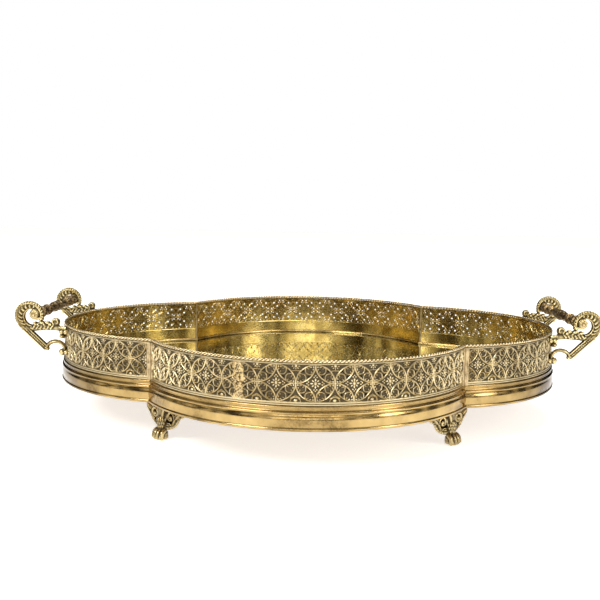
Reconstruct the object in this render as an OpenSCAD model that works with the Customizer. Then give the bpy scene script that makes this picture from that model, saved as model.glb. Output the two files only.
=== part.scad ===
// Dresser vanity tray: a lobed mirror tray in gilt brass, with an openwork gallery,
// a rope rim, a moulded skirt, four lion-paw feet and two cast handles.
// The origin is on the floor, under the middle of the tray. +X runs out through the
// right-hand handle, -Y is the front and +Z is up.

/* [Plan] */
// Length across the two end lobes, at the middle of the gallery strip
gallery_length = 360; // [336:1:432]
// Depth across the front and back lobes, at the middle of the gallery strip
gallery_depth = 320; // [300:1:384]
// Radius of the front and back lobes
front_lobe_r = 112; // [104:1:118]
// Radius of the two end lobes
side_lobe_r = 102; // [96:1:108]

/* [Heights] */
// Floor to the underside of the skirt
foot_height = 25.4; // [22:0.2:34]
// Height of the moulded skirt
skirt_height = 14.6; // [13:0.2:18]
// Height of the openwork band that shows above the skirt
band_height = 24.4; // [20:0.2:30]

/* [Sheet and wire] */
// Thickness of the gallery strip
strip_t = 1.2; // [0.8:0.1:1.6]
// Diameter of the rope wire along the rim
rope_d = 2; // [1.4:0.1:2.6]
// Diameter of the plain wire that holds the mirror down
bead_d = 1.8; // [1.2:0.1:2.4]
// Thickness of the base plate
plate_t = 1.2; // [0.8:0.1:1.6]
// Thickness of the card pad under the mirror
pad_t = 0.7; // [0.4:0.1:1.2]
// Thickness of the mirror glass
glass_t = 3; // [2:0.5:4]
// Reach of the skirt beyond the gallery
skirt_reach = 3.2; // [2.6:0.1:4.6]

/* [Openwork] */
// Length of one repeat of the pattern
cell_pitch = 22.2; // [18:0.1:28]
// Width of the bars left between the piercings
bar_w = 1.6; // [1.2:0.1:2]
// Shift of the pattern along the front and back strips
front_shift = -6.6; // [-11:0.1:11]
// Shift of the pattern along the two end strips
side_shift = 0; // [-11:0.1:11]

/* [Handles] */
// Distance between the two brackets of a handle
bracket_spacing = 92; // [80:0.2:112]
// Thickness of a bracket casting
bracket_t = 6; // [5:0.5:8]
// Outer radius of the big volute
volute_r = 10.3; // [9:0.1:11]
// Thickest radius of the turned grip
grip_r = 4.2; // [3.4:0.1:4.6]
// Radius of the tie rod in the grip
rod_r = 1.5; // [1:0.1:1.8]

/* [Feet] */
// Half the spread of the acanthus leaf on a foot
leaf_half = 19; // [15:0.5:22]
// Radius of the ankle above the paw
ankle_r = 3.4; // [2.8:0.1:4]
// Radius of the stud that holds a foot
stud_r = 1.5; // [1:0.1:2]

/* [Fits] */
// Clearance between soldered or resting pieces
seat_gap = 0.05; // [0.02:0.01:0.1]
// Clearance round a rod, stud or screw in its hole
hole_gap = 0.1; // [0.05:0.05:0.3]

/* [Hidden] */
$fn = 96;
gold = [0.83, 0.62, 0.27];
pale_gold = [0.90, 0.78, 0.48];
aged_gold = [0.66, 0.54, 0.33];
dark_brass = [0.36, 0.26, 0.14];
far = 2 * gallery_length;
plan_fn = 360;

// Plan: each lobe is an arc about its own centre, and neighbours meet at a cusp.
front_centre = gallery_depth / 2 - front_lobe_r;
side_centre = gallery_length / 2 - side_lobe_r;
centre_gap = norm([front_centre, side_centre]);
along = (pow(front_lobe_r, 2) - pow(side_lobe_r, 2) + pow(centre_gap, 2)) / (2 * centre_gap);
across = sqrt(pow(front_lobe_r, 2) - pow(along, 2));
cusp_x = (along * side_centre + across * front_centre) / centre_gap;
cusp_y = front_centre + (across * side_centre - along * front_centre) / centre_gap;
cusp_turn = atan2(cusp_y, cusp_x);
front_half = atan2(cusp_x, cusp_y - front_centre);
side_half = atan2(cusp_y, cusp_x - side_centre);
mitre = (front_half + side_half - 90) / 2;

// Levels
skirt_top = foot_height + skirt_height;
ledge_t = 1.6;
plate_z = foot_height + ledge_t;
strip_z = plate_z + plate_t;
strip_top = skirt_top + band_height;
glass_top = strip_z + pad_t + glass_t;
strip_in = strip_t / 2;
glass_inset = strip_in + 0.4;
arris_w = bead_d;
arris_h = 0.5;
ledge_in = 1.5;

// Handles: u is measured outwards from the gallery wall at a bracket.
bracket_y = bracket_spacing / 2;
wall_x = side_centre + sqrt(pow(side_lobe_r + strip_in, 2) - pow(bracket_y, 2));
wall_turn = asin(bracket_y / (side_lobe_r + strip_in));
volute = [26, strip_top + 7.9];
bud = [21.6, strip_top + 9];
bud_r = 3.9;
screw_z = [strip_top - 3.4, strip_top - 17.6];
screw_r = 0.9;
grip_length = bracket_spacing - bracket_t - 2 * seat_gap;
nut_h = 2.4;

// Feet: x runs outwards along the diagonal from the cusp.
stud_x = -21;
leaf_x = -12.5;
leaf_t = 3.4;
flange_t = 1.4;
washer_t = 0.8;
foot_nut_h = 2.2;

// --- shared shapes ---------------------------------------------------------------

// The lobed outline, grown by g, as a solid from z0 up by h.
module lobed_block(g, z0, h) {
    for (s = [-1, 1]) {
        translate([0, s * front_centre, z0]) cylinder(r = front_lobe_r + g, h = h, $fn = plan_fn);
        translate([s * side_centre, 0, z0]) cylinder(r = side_lobe_r + g, h = h, $fn = plan_fn);
    }
}

function on_end(side) = side == "left" || side == "right";
function lobe_r(side) = on_end(side) ? side_lobe_r : front_lobe_r;
function lobe_half(side) = on_end(side) ? side_half : front_half;
function degrees(s, r) = s / r * 180 / PI;

// Places children on a lobe, with the lobe's middle along +X of its own centre.
module on_lobe(side) {
    turn = side == "right" ? 0 : side == "back" ? 90 : side == "left" ? 180 : 270;
    rotate([0, 0, turn]) translate([on_end(side) ? side_centre : front_centre, 0, 0])
        children();
}

// A section drawn about the strip's middle, swept round a lobe from cusp to cusp.
module arc_section(side, trim) {
    a = lobe_half(side) - degrees(trim, lobe_r(side));
    rotate_extrude(angle = 2 * a, start = -a, $fn = plan_fn)
        translate([lobe_r(side), 0]) children();
}

// The same sweep with both ends mitred on the line that halves the cusp.
module mitred_section(side, gap) {
    half = lobe_half(side);
    difference() {
        arc_section(side, -6) children();
        for (s = [0, 1]) mirror([0, s, 0])
            translate(lobe_r(side) * [cos(half), sin(half), 0]) rotate([0, 0, half - mitre])
                translate([-30, -gap / 2, -1]) cube([60, 40, far]);
    }
}

module at_corner(sx, sy) {
    mirror([sx < 0 ? 1 : 0, 0, 0]) mirror([0, sy < 0 ? 1 : 0, 0])
        translate([cusp_x, cusp_y, 0]) rotate([0, 0, cusp_turn]) children();
}

function arc_points(c, r, a0, a1, n) =
    [for (i = [0:n]) c + r * [cos(a0 + (a1 - a0) * i / n), sin(a0 + (a1 - a0) * i / n)]];

// --- base --------------------------------------------------------------------------

lip_r = 1.2;
low_bead_r = 0.9;
top_bead_r = 0.7;
face_top = foot_height + skirt_height * 0.66;
cove_z = skirt_top - 2 * top_bead_r - 0.8;

// Outline of the skirt beyond the lobe radius: lip, swelling face, bead, cove, bead.
function skirt_outline() = concat(
    arc_points([skirt_reach - lip_r, foot_height + lip_r], lip_r, -90, 60, 5),
    arc_points([skirt_reach - 8.2, (foot_height + face_top) / 2 + 1], 7.9, -18, 22, 6),
    arc_points([skirt_reach - 1.3, face_top + low_bead_r], low_bead_r, -70, 80, 5),
    [[strip_in + 0.8, cove_z]],
    arc_points([strip_in + 0.75, skirt_top - top_bead_r], top_bead_r, -60, 90, 5));

module skirt(side) color(gold) on_lobe(side) mitred_section(side, seat_gap)
    polygon(concat([[-ledge_in, plate_z], [-ledge_in, foot_height]], skirt_outline(),
                   [[strip_in + seat_gap, skirt_top], [strip_in + seat_gap, plate_z]]));

module base_plate() color(dark_brass)
    lobed_block(strip_in, plate_z, plate_t);

module mirror_pad() color([0.32, 0.24, 0.18])
    lobed_block(-glass_inset, strip_z, pad_t);

// The glass has a ground arris round its top edge, and the floor beads lie over it.
module mirror_plate() color([0.80, 0.82, 0.80]) {
    flat_t = glass_t - arris_h;
    lobed_block(-glass_inset, strip_z + pad_t, flat_t);
    for (s = [-1, 1]) {
        translate([0, s * front_centre, strip_z + pad_t + flat_t]) arris(front_lobe_r);
        translate([s * side_centre, 0, strip_z + pad_t + flat_t]) arris(side_lobe_r);
    }
}

module arris(r)
    cylinder(r1 = r - glass_inset, r2 = r - glass_inset - arris_w, h = arris_h, $fn = plan_fn);

module floor_bead(side) color(gold) on_lobe(side) mitred_section(side, seat_gap)
    translate([-strip_in - seat_gap - bead_d / 2, glass_top + bead_d / 2 + seat_gap])
        circle(d = bead_d, $fn = 24);

// --- gallery -----------------------------------------------------------------------

rail_h = 2.6;
open_low = skirt_top + rail_h;
open_high = strip_top - 1.4;
open_h = open_high - open_low;
open_mid = (open_low + open_high) / 2;
cutter_l = 6;
post_r = 0.95;
cover_r = 3.3;
cover_t = 0.8;

// A piercing through the strip at arc length s, drawn as [along, up] points.
module piercing(r, s, outline) {
    rotate([0, 0, degrees(s, r)]) translate([r - cutter_l / 2, 0, open_mid])
        rotate([90, 0, 90]) linear_extrude(cutter_l) polygon(outline);
}

half_w = cell_pitch / 2;
half_h = open_h / 2;
diamond = [[half_w * 0.52, 0], [0, half_h * 0.52], [-half_w * 0.52, 0], [0, -half_h * 0.52]];
petal = [[half_w * 0.10, half_h * 0.62], [half_w * 0.16, half_h * 0.86],
         [half_w * 0.62, half_h * 0.60], [half_w * 0.88, half_h * 0.14],
         [half_w * 0.66, half_h * 0.10]];
arch = [[half_w * 0.42, half_h - bar_w / 2], [-half_w * 0.42, half_h - bar_w / 2],
        [0, half_h * 0.46]];

function flip(outline, fx, fy) = [for (p = outline) [fx * p[0], fy * p[1]]];

module gallery(side) {
    r = lobe_r(side);
    shift = on_end(side) ? side_shift : front_shift;
    reach = lobe_half(side) * r * PI / 180;
    steps = ceil(reach / cell_pitch) + 1;
    margin = half_w * 0.7 + cover_r;
    blank = on_end(side) ? wall_turn * r * PI / 180 : far;
    color(aged_gold) on_lobe(side) difference() {
        arc_section(side, post_r + seat_gap)
            translate([-strip_in, strip_z + seat_gap])
                square([strip_t, strip_top - strip_z - seat_gap]);
        for (k = [-steps:steps]) {
            s = shift + (k + 0.5) * cell_pitch;
            clear = abs(abs(s) - blank) > half_w;
            if (abs(s) < reach - margin && clear) {
                piercing(r, s, diamond);
                for (fx = [-1, 1]) for (fy = [-1, 1]) piercing(r, s, flip(petal, fx, fy));
            }
            t = shift + k * cell_pitch;
            if (abs(t) < reach - margin && abs(abs(t) - blank) > half_w * 0.6)
                for (fy = [-1, 1]) piercing(r, t, flip(arch, 1, fy));
        }
        if (on_end(side)) bracket_holes(screw_r + hole_gap, far);
    }
}

// Screw axes of the two brackets on one end lobe, in the lobe's own frame.
module bracket_holes(r, l) {
    for (s = [-1, 1]) for (z = screw_z)
        rotate([0, 0, s * wall_turn]) translate([side_lobe_r - l / 2, 0, z])
            rotate([0, 90, 0]) cylinder(r = r, h = l, $fn = 24);
}

module rim_rope(side) color(gold) on_lobe(side) mitred_section(side, seat_gap)
    translate([0, strip_top + rope_d / 2 + seat_gap]) circle(d = rope_d, $fn = 24);

// A folded strip that closes the gallery at a cusp: a post between the two strip ends
// and a cover lapped over their outer faces.
module corner_strip(sx, sy) color(gold) {
    intersection() {
        difference() {
            union() {
                lobed_block(strip_in, strip_z + seat_gap, strip_top - strip_z - seat_gap);
                lobed_block(strip_in + cover_t / 2, skirt_top + seat_gap, band_height - seat_gap);
            }
            lobed_block(-strip_in, strip_z - 1, far);
        }
        translate([sx * cusp_x, sy * cusp_y, 0]) cylinder(r = post_r, h = far, $fn = 32);
    }
    intersection() {
        difference() {
            lobed_block(strip_in + cover_t, skirt_top + seat_gap, band_height - seat_gap);
            lobed_block(strip_in + seat_gap / 2, skirt_top - 1, far);
        }
        translate([sx * cusp_x, sy * cusp_y, 0]) cylinder(r = cover_r, h = far, $fn = 48);
    }
}

patch_s = 40.5;
patch_w = 9;
patch_t = 0.6;

module seam_patch() {
    wide = degrees(patch_w, front_lobe_r);
    color(gold) on_lobe("front") rotate([0, 0, -degrees(patch_s, front_lobe_r)])
        rotate_extrude(angle = wide, start = -wide / 2, $fn = plan_fn)
            translate([front_lobe_r + strip_in + seat_gap, skirt_top + rail_h / 2])
                square([patch_t, band_height - rail_h]);
}

// --- handles -----------------------------------------------------------------------

arm_low = strip_top - 2.4;
arm_reach = 24;
behind_wall = -6;
leaf_tip = [7.4, strip_top + 3.8];
leaf_tip_r = 3.2;
strut_tip = [14.4, strip_top - 16.8];
eye = volute + [-2.4, -0.9];
eye_r = 5.6;
hanger_w = 4.6;
arch_c = [7.4, strip_top - 15.6];
arch_r = 6.4;
arch_w = 2.8;
pad_h = 5.2;
curl = [3.2, screw_z[1] - 0.6];
curl_r = 2.6;

// Side view of a bracket: u outwards from the wall, z up.
module bracket_outline() {
    difference() {
        union() {
            translate(volute) circle(r = volute_r);
            // leafy arm from the volute to the rim, and the scroll that hangs at the wall
            polygon([[behind_wall, strip_top - 7.6], [2.6, strip_top - 8.6],
                     [hanger_w, strip_top - 7], [hanger_w - 0.2, arm_low - 0.2],
                     [arm_reach, arm_low], [19, strip_top + 5.6], [12, strip_top + 5],
                     [4, strip_top + 2.8], [behind_wall, strip_top - 0.4]]);
            translate(leaf_tip) circle(r = leaf_tip_r);
            // straight strut down to its pointed corner
            polygon([[35.4, strip_top + 3.2], [arm_reach, arm_low - 0.4],
                     [14.2, strip_top - 10.4], strut_tip, [33, strip_top - 1]]);
        }
        translate(eye) circle(r = eye_r, $fn = 64);
    }
    translate(bud) circle(r = bud_r, $fn = 64);
    // arch back from the corner to the wall, and its small curl
    intersection() {
        difference() {
            translate(arch_c) circle(r = arch_r + arch_w / 2, $fn = 64);
            translate(arch_c) circle(r = arch_r - arch_w / 2, $fn = 64);
        }
        translate(arch_c - [20, arch_w / 2]) square([40, 20]);
    }
    translate([behind_wall, screw_z[1] - pad_h / 2]) square([curl[0] - behind_wall, pad_h]);
    translate(curl) circle(r = curl_r, $fn = 48);
}

module bracket(sx, sy) {
    color(pale_gold) mirror([sx < 0 ? 1 : 0, 0, 0]) mirror([0, sy < 0 ? 1 : 0, 0])
        difference() {
            translate([wall_x, bracket_y + bracket_t / 2, 0]) rotate([90, 0, 0])
                linear_extrude(bracket_t) bracket_outline();
            // seat against the curved wall and over the rope
            translate([side_centre, 0, 0])
                cylinder(r = side_lobe_r + strip_in + seat_gap, h = strip_top + seat_gap, $fn = 180);
            translate([side_centre, 0, strip_top])
                cylinder(r = side_lobe_r + rope_d / 2 + seat_gap, h = far, $fn = 180);
            translate([side_centre, 0, 0]) bracket_holes(screw_r + hole_gap, 2 * 6.2);
            translate([wall_x + bud[0], bracket_y, bud[1]]) rotate([90, 0, 0])
                cylinder(r = rod_r + hole_gap, h = far, center = true, $fn = 32);
        }
}

// Waist, neck and end radii of the turned grip, as shares of its full radius.
waist = 0.8;
neck = 0.7;
collar = 0.86;

// Half profile of the turned grip: swelling middle, two beads with necks, end collar.
module grip(sx) {
    l = grip_length / 2;
    profile = [[0, rod_r + hole_gap], [0, grip_r], [l - 26, grip_r * waist], [l - 22, grip_r],
               [l - 17, grip_r * neck], [l - 12, grip_r * neck], [l - 9, grip_r],
               [l - 6, grip_r * neck], [l, grip_r * collar], [l, rod_r + hole_gap]];
    color(dark_brass) translate([sx * (wall_x + bud[0]), 0, bud[1]])
        for (s = [-1, 1]) rotate([s * 90, 0, 0])
            rotate_extrude() polygon([for (p = profile) [p[1], p[0]]]);
}

rod_l = bracket_spacing + bracket_t + 2 * nut_h - 1;

module tie_rod(sx) color(dark_brass)
    translate([sx * (wall_x + bud[0]), 0, bud[1]]) rotate([90, 0, 0])
        cylinder(r = rod_r, h = rod_l, center = true, $fn = 32);

nut_r = bud_r - 0.6;
nut_tip_r = 1.8;

// Domed nuts on the ends of the tie rods.
module rod_nuts() color(pale_gold)
    for (sx = [-1, 1]) for (sy = [-1, 1])
        translate([sx * (wall_x + bud[0]), sy * (bracket_y + bracket_t / 2 + seat_gap), bud[1]])
            rotate([-sy * 90, 0, 0]) difference() {
                union() {
                    cylinder(r = nut_r, h = nut_h / 2, $fn = 48);
                    translate([0, 0, nut_h / 2])
                        cylinder(r1 = nut_r, r2 = nut_tip_r, h = nut_h / 2, $fn = 48);
                }
                translate([0, 0, -1]) cylinder(r = rod_r + hole_gap, h = nut_h + 0.6, $fn = 32);
            }

screw_l = 6;
screw_head = 1.9;
screw_head_t = 0.9;

module bracket_screws() color(gold)
    for (sx = [-1, 1]) mirror([sx < 0 ? 1 : 0, 0, 0]) translate([side_centre, 0, 0])
        for (s = [-1, 1]) for (z = screw_z)
            rotate([0, 0, s * wall_turn])
                translate([side_lobe_r - strip_in - seat_gap - screw_head_t, 0, z])
                    rotate([0, 90, 0]) {
                        cylinder(r = screw_head, h = screw_head_t, $fn = 32);
                        cylinder(r = screw_r, h = screw_head_t + screw_l, $fn = 24);
                    }

// --- feet --------------------------------------------------------------------------

leaf_low = 9;
ankle_z = 9.6;
haunch_r = 5.4;
haunch_z = plate_z - flange_t - 7;
shank_top_r = 4.8;
shank_run = 3.8;
shank_rise = haunch_z - ankle_z + 1.6;
shank_lean = atan(shank_run / shank_rise);
shank_l = norm([shank_run, shank_rise]);
heel_r = 4.6;
paw_x = -6.6;
paw_w = 10.8;
toe_r = 2.3;
toe_reach = 4;
tip_r = toe_r - 0.2;
flange_w = 18;
flange_back = stud_x - 6;

// Front view of the acanthus leaf behind the shank.
module leaf_outline() {
    top = plate_z - flange_t;
    side = [[0, leaf_low - 1], [ankle_r, leaf_low - 1], [leaf_half * 0.55, leaf_low + 1],
            [leaf_half - 3, leaf_low + 2], [leaf_half, leaf_low + 6], [leaf_half, top]];
    for (s = [0, 1]) mirror([s, 0]) polygon(concat([[0, top]], side));
}

module foot(sx, sy) color(gold) at_corner(sx, sy) difference() {
    union() {
        // flange against the underside of the base plate
        translate([flange_back, -flange_w / 2, plate_z - flange_t])
            cube([leaf_x + leaf_t - flange_back, flange_w, flange_t - seat_gap]);
        translate([leaf_x, 0, 0]) rotate([90, 0, 90]) linear_extrude(leaf_t) leaf_outline();
        // shank that leans out from the leaf to the paw
        translate([leaf_x + leaf_t - 1, 0, haunch_z]) sphere(r = haunch_r, $fn = 48);
        translate([paw_x - 2.6, 0, ankle_z - 3]) rotate([0, -shank_lean, 0])
            cylinder(r1 = ankle_r, r2 = shank_top_r, h = shank_l, $fn = 48);
        // paw: heel and four toes
        translate([paw_x - 2, 0, 0]) cylinder(r = heel_r, h = 7, $fn = 48);
        for (i = [-1.5:1:1.5]) {
            y = i * (paw_w - 2 * toe_r) / 3;
            tip_x = paw_x + toe_reach - abs(i) * 0.8;
            translate([paw_x, y, 0]) cylinder(r = toe_r, h = toe_r + 2.6, $fn = 32);
            translate([tip_x, y, 0]) cylinder(r = tip_r, h = toe_r, $fn = 32);
            translate([tip_x, y, toe_r]) sphere(r = tip_r, $fn = 32);
        }
    }
    translate([stud_x, 0, 0]) cylinder(r = stud_r + hole_gap, h = far, $fn = 32);
}

stud_l = flange_t + washer_t + foot_nut_h + 1.2;

module foot_studs() color(dark_brass)
    for (sx = [-1, 1]) for (sy = [-1, 1]) at_corner(sx, sy)
        translate([stud_x, 0, plate_z - stud_l]) cylinder(r = stud_r, h = stud_l, $fn = 32);

washer_r = 3.6;
foot_nut_r = 3.2;

module foot_washers() color(dark_brass)
    for (sx = [-1, 1]) for (sy = [-1, 1]) at_corner(sx, sy)
        translate([stud_x, 0, plate_z - flange_t - washer_t - seat_gap]) difference() {
            cylinder(r = washer_r, h = washer_t, $fn = 48);
            translate([0, 0, -1]) cylinder(r = stud_r + hole_gap, h = washer_t + 2, $fn = 32);
        }

module foot_nuts() color(dark_brass)
    for (sx = [-1, 1]) for (sy = [-1, 1]) at_corner(sx, sy)
        translate([stud_x, 0, plate_z - flange_t - washer_t - foot_nut_h - 2 * seat_gap])
            difference() {
                cylinder(r = foot_nut_r, h = foot_nut_h, $fn = 6);
                translate([0, 0, -1])
                    cylinder(r = stud_r + hole_gap, h = foot_nut_h + 2, $fn = 32);
            }

// --- the pieces --------------------------------------------------------------------

skirt("front");  // skirt_front
skirt("back");  // skirt_back
skirt("left");  // skirt_left
skirt("right");  // skirt_right
base_plate();
mirror_pad();
mirror_plate();
floor_bead("front");  // floor_bead_front
floor_bead("back");  // floor_bead_back
floor_bead("left");  // floor_bead_left
floor_bead("right");  // floor_bead_right
gallery("front");  // gallery_front
gallery("back");  // gallery_back
gallery("left");  // gallery_left
gallery("right");  // gallery_right
rim_rope("front");  // rim_rope_front
rim_rope("back");  // rim_rope_back
rim_rope("left");  // rim_rope_left
rim_rope("right");  // rim_rope_right
corner_strip(-1, -1);  // corner_strip_front_left
corner_strip(1, -1);  // corner_strip_front_right
corner_strip(-1, 1);  // corner_strip_back_left
corner_strip(1, 1);  // corner_strip_back_right
seam_patch();
bracket(-1, -1);  // bracket_left_front
bracket(-1, 1);  // bracket_left_back
bracket(1, -1);  // bracket_right_front
bracket(1, 1);  // bracket_right_back
grip(-1);  // grip_left
grip(1);  // grip_right
tie_rod(-1);  // tie_rod_left
tie_rod(1);  // tie_rod_right
rod_nuts();
bracket_screws();
foot(-1, -1);  // foot_front_left
foot(1, -1);  // foot_front_right
foot(-1, 1);  // foot_back_left
foot(1, 1);  // foot_back_right
foot_studs();
foot_washers();
foot_nuts();
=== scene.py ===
from math import atan2, ceil, cos, hypot, pi, radians, sin, sqrt

import bmesh
import bpy
import numpy as np
from mathutils import Euler, Matrix, Vector, noise


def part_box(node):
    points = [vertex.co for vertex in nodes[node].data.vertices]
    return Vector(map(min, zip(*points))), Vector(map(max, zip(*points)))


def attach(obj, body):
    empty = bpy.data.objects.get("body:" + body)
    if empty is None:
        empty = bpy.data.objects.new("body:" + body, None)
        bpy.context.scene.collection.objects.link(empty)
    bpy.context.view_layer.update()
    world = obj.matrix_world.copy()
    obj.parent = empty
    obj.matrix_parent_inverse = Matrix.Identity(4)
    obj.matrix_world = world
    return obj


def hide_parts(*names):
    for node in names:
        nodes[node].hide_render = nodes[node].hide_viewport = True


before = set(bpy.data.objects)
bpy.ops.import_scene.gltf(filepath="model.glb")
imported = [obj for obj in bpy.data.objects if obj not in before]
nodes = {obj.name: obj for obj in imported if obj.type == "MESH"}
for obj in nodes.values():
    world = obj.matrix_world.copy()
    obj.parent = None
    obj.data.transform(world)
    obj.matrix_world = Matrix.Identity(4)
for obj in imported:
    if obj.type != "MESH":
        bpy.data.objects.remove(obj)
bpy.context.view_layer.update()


# ---- Base plate, card pad and the fixings under the tray -------------------------------
# A sheet of browned brass closes the underside. Studs brazed to it carry the feet, each
# with a washer and a hexagon nut, and a felt-faced card lies between the plate and glass.

MM = 0.001


class Wire:
    """An output socket that can be used in sums, so that a formula adds its Math nodes."""

    def __init__(self, net, socket):
        self.net, self.socket = net, socket

    def _math(self, operation, other, swapped=False):
        a, b = (other, self) if swapped else (self, other)
        return self.net.node("ShaderNodeMath", {"operation": operation}, {0: a, 1: b})

    def __add__(self, other):
        return self._math("ADD", other)

    def __sub__(self, other):
        return self._math("SUBTRACT", other)

    def __rsub__(self, other):
        return self._math("SUBTRACT", other, True)

    def __mul__(self, other):
        return self._math("MULTIPLY", other)

    def __truediv__(self, other):
        return self._math("DIVIDE", other)

    __radd__, __rmul__ = __add__, __mul__

    def clamped(self):
        return self.net.node("ShaderNodeClamp", {}, {"Value": self})

    def sine(self):
        return self.net.node("ShaderNodeMath", {"operation": "SINE"}, {0: self})

    def cosine(self):
        return self.net.node("ShaderNodeMath", {"operation": "COSINE"}, {0: self})


class Net:
    """A node tree that is being wired, for a finish or for geometry."""

    def __init__(self, tree):
        self.tree = tree

    def node(self, kind, settings=None, inputs=None, out=0):
        made = self.tree.nodes.new(kind)
        for name, value in (settings or {}).items():
            setattr(made, name, value)
        for name, value in (inputs or {}).items():
            if isinstance(value, Wire):
                self.tree.links.new(value.socket, made.inputs[name])
            else:
                made.inputs[name].default_value = value
        return Wire(self, made.outputs[out]) if made.outputs else None

    def noise(self, place, scale, detail=3.0, roughness=0.5):
        values = {"Vector": place, "Scale": scale, "Detail": detail, "Roughness": roughness}
        return self.node("ShaderNodeTexNoise", {}, values)

    def mix(self, amount, a, b):
        return self.node("ShaderNodeMix", {"data_type": "RGBA"}, {0: amount, 6: a, 7: b}, out=2)

    def spread(self, value, low, high):
        """Takes low to 0 and high to 1, and holds the ends."""
        values = {"Value": value, "From Min": low, "From Max": high}
        return self.node("ShaderNodeMapRange", {}, values)


class Finish(Net):
    """A material. surface() closes it with the shader's values."""

    def __init__(self, name):
        self.material = bpy.data.materials.new(name)
        self.material.use_nodes = True
        super().__init__(self.material.node_tree)
        self.tree.nodes.clear()
        self.place = self.node("ShaderNodeTexCoord", out="Object")

    def bump(self, height, depth, strength=1.0):
        values = {"Height": height, "Distance": depth, "Strength": strength}
        return self.node("ShaderNodeBump", {}, values)

    def surface(self, values):
        shader = self.node("ShaderNodeBsdfPrincipled", {}, values)
        self.node("ShaderNodeOutputMaterial", {}, {"Surface": shader})
        return self.material


def rgb(r, g, b):
    return (r, g, b, 1.0)


def metal(name, bright, tone, dark, rough, relief=0.0, grain=0.03, brush=0.0, cloud=55.0,
          lining=None, ends=0.0):
    """Gilt brass: bright where it is rubbed, with an aged tone, dark with dirt and painted shade.

    relief is how far the piece's own relief attribute decides where the dark lies. That dark
    is dirt in the hollows and painted shade there. A strip marks its inner face with a relief
    over 1, and that face takes the two lining colours.
    ends is how much darker the metal is painted at the two far ends of the tray: a painted
    dark reflection.
    """
    f = Finish(name)
    slow = f.noise(f.place, cloud, 4.0, 0.6)
    fine = f.noise(f.place, 900.0, 4.0, 0.65)
    specks = f.spread(f.noise(f.place, 2600.0, 2.0), 0.60, 0.74)
    dirt_and_painted_shade = f.spread(slow + 0.5 * fine, 0.80, 1.05)
    if relief:
        # low relief darkens hollows, wire sides and the ground: dirt and painted shade
        height = f.node("ShaderNodeAttribute", {"attribute_name": "relief"}, out="Fac")
        hollow = f.spread(height + 0.30 * (slow - 0.5) + 0.26 * (fine - 0.5), 0.66, 0.22)
        dirt_and_painted_shade = (relief * hollow + (1.0 - relief) * dirt_and_painted_shade).clamped()
    toned = f.mix(f.spread(slow, 0.36, 0.66), bright, tone)
    # painted dark reflection: the colour darkens towards the tray's two far ends
    if ends:
        ahead = f.node("ShaderNodeSeparateXYZ", {}, {"Vector": f.place}, out="X")
        painted_dark_ends = f.spread(ahead * ahead + 0.010 * (slow - 0.5), 0.014, 0.030)
        toned = f.mix(painted_dark_ends * ends, toned, dark)
    if lining:
        lined = f.spread(height, 1.12, 1.30)
        toned = f.mix(lined, toned, f.mix(f.spread(slow, 0.40, 0.62), lining[0], lining[1]))
        dirt_and_painted_shade = dirt_and_painted_shade * (1.0 - 0.75 * lined)
    colour = f.mix((dirt_and_painted_shade * 0.94 + specks * 0.12).clamped(), toned, dark)
    roughness = rough + 0.24 * dirt_and_painted_shade + 0.16 * (fine - 0.5) + 0.06 * slow
    if lining:
        roughness = roughness - 0.17 * lined
    roughness = roughness.clamped()
    height = fine * grain + specks * (-0.4 * grain)
    if brush:
        across = f.node("ShaderNodeMapping", {}, {"Vector": f.place, "Scale": (1.0, 1.0, 30.0)})
        height = height + f.noise(across, 260.0, 2.0) * brush
    return f.surface({
        "Base Color": colour, "Metallic": 1.0, "Roughness": roughness,
        "Normal": f.bump(height, 1.0 * MM),
    })


def dress(name, material):
    """Gives a carried-over CAD node its finish."""
    data = nodes[name].data
    data.materials.clear()
    data.materials.append(material)


browned = metal("browned_brass", rgb(0.36, 0.24, 0.10), rgb(0.22, 0.14, 0.06),
                rgb(0.05, 0.03, 0.015), 0.36, grain=0.06, brush=0.05)
for name in ("base_plate", "foot_studs", "foot_washers", "foot_nuts"):
    dress(name, browned)

felt = Finish("card_felt")
fibres = felt.noise(felt.place, 1800.0, 5.0, 0.75)
felt_tone = felt.noise(felt.place, 90.0, 3.0)
felt.surface({
    "Base Color": felt.mix(felt_tone, rgb(0.055, 0.040, 0.030), rgb(0.105, 0.078, 0.056)),
    "Roughness": 0.94, "Sheen Weight": 0.25,
    "Normal": felt.bump(fibres, 0.35 * MM),
})
dress("mirror_pad", felt.material)


# ---- Mirror ----------------------------------------------------------------------------
# A sheet of silvered glass cut to the lobed outline lies on the pad. The silvering has
# dulled in faint patches, and the face carries wipe marks.

glass = Finish("mirror_silvering")
foxing = glass.noise(glass.place, 70.0, 6.0, 0.7)
wipes = glass.noise(glass.node("ShaderNodeMapping", {}, {
    "Vector": glass.place, "Rotation": (0.0, 0.0, 0.6), "Scale": (1.0, 9.0, 1.0)}), 34.0, 3.0)
dulled = glass.spread(foxing, 0.60, 0.78)
glass.surface({
    "Base Color": glass.mix(dulled * 0.35, rgb(0.56, 0.55, 0.42), rgb(0.34, 0.31, 0.22)),
    "Metallic": 1.0, "Roughness": 0.035 + 0.04 * glass.spread(wipes, 0.5, 0.8),
})
dress("mirror_plate", glass.material)


# ---- Skirt -----------------------------------------------------------------------------
# Four lengths of moulding, one to each lobe, run round the base and are mitred and
# soldered where the lobes meet: a rolled lip, a polished swelling face, two beads, a cove.

STRIP_T = 1.2 * MM
SWEEP_STEPS = 110
LOBE_RADIUS = {"front": 112 * MM, "back": 112 * MM, "left": 102 * MM, "right": 102 * MM}
LOBE_TURN = {"right": 0.0, "back": pi / 2, "left": pi, "front": -pi / 2}


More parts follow.
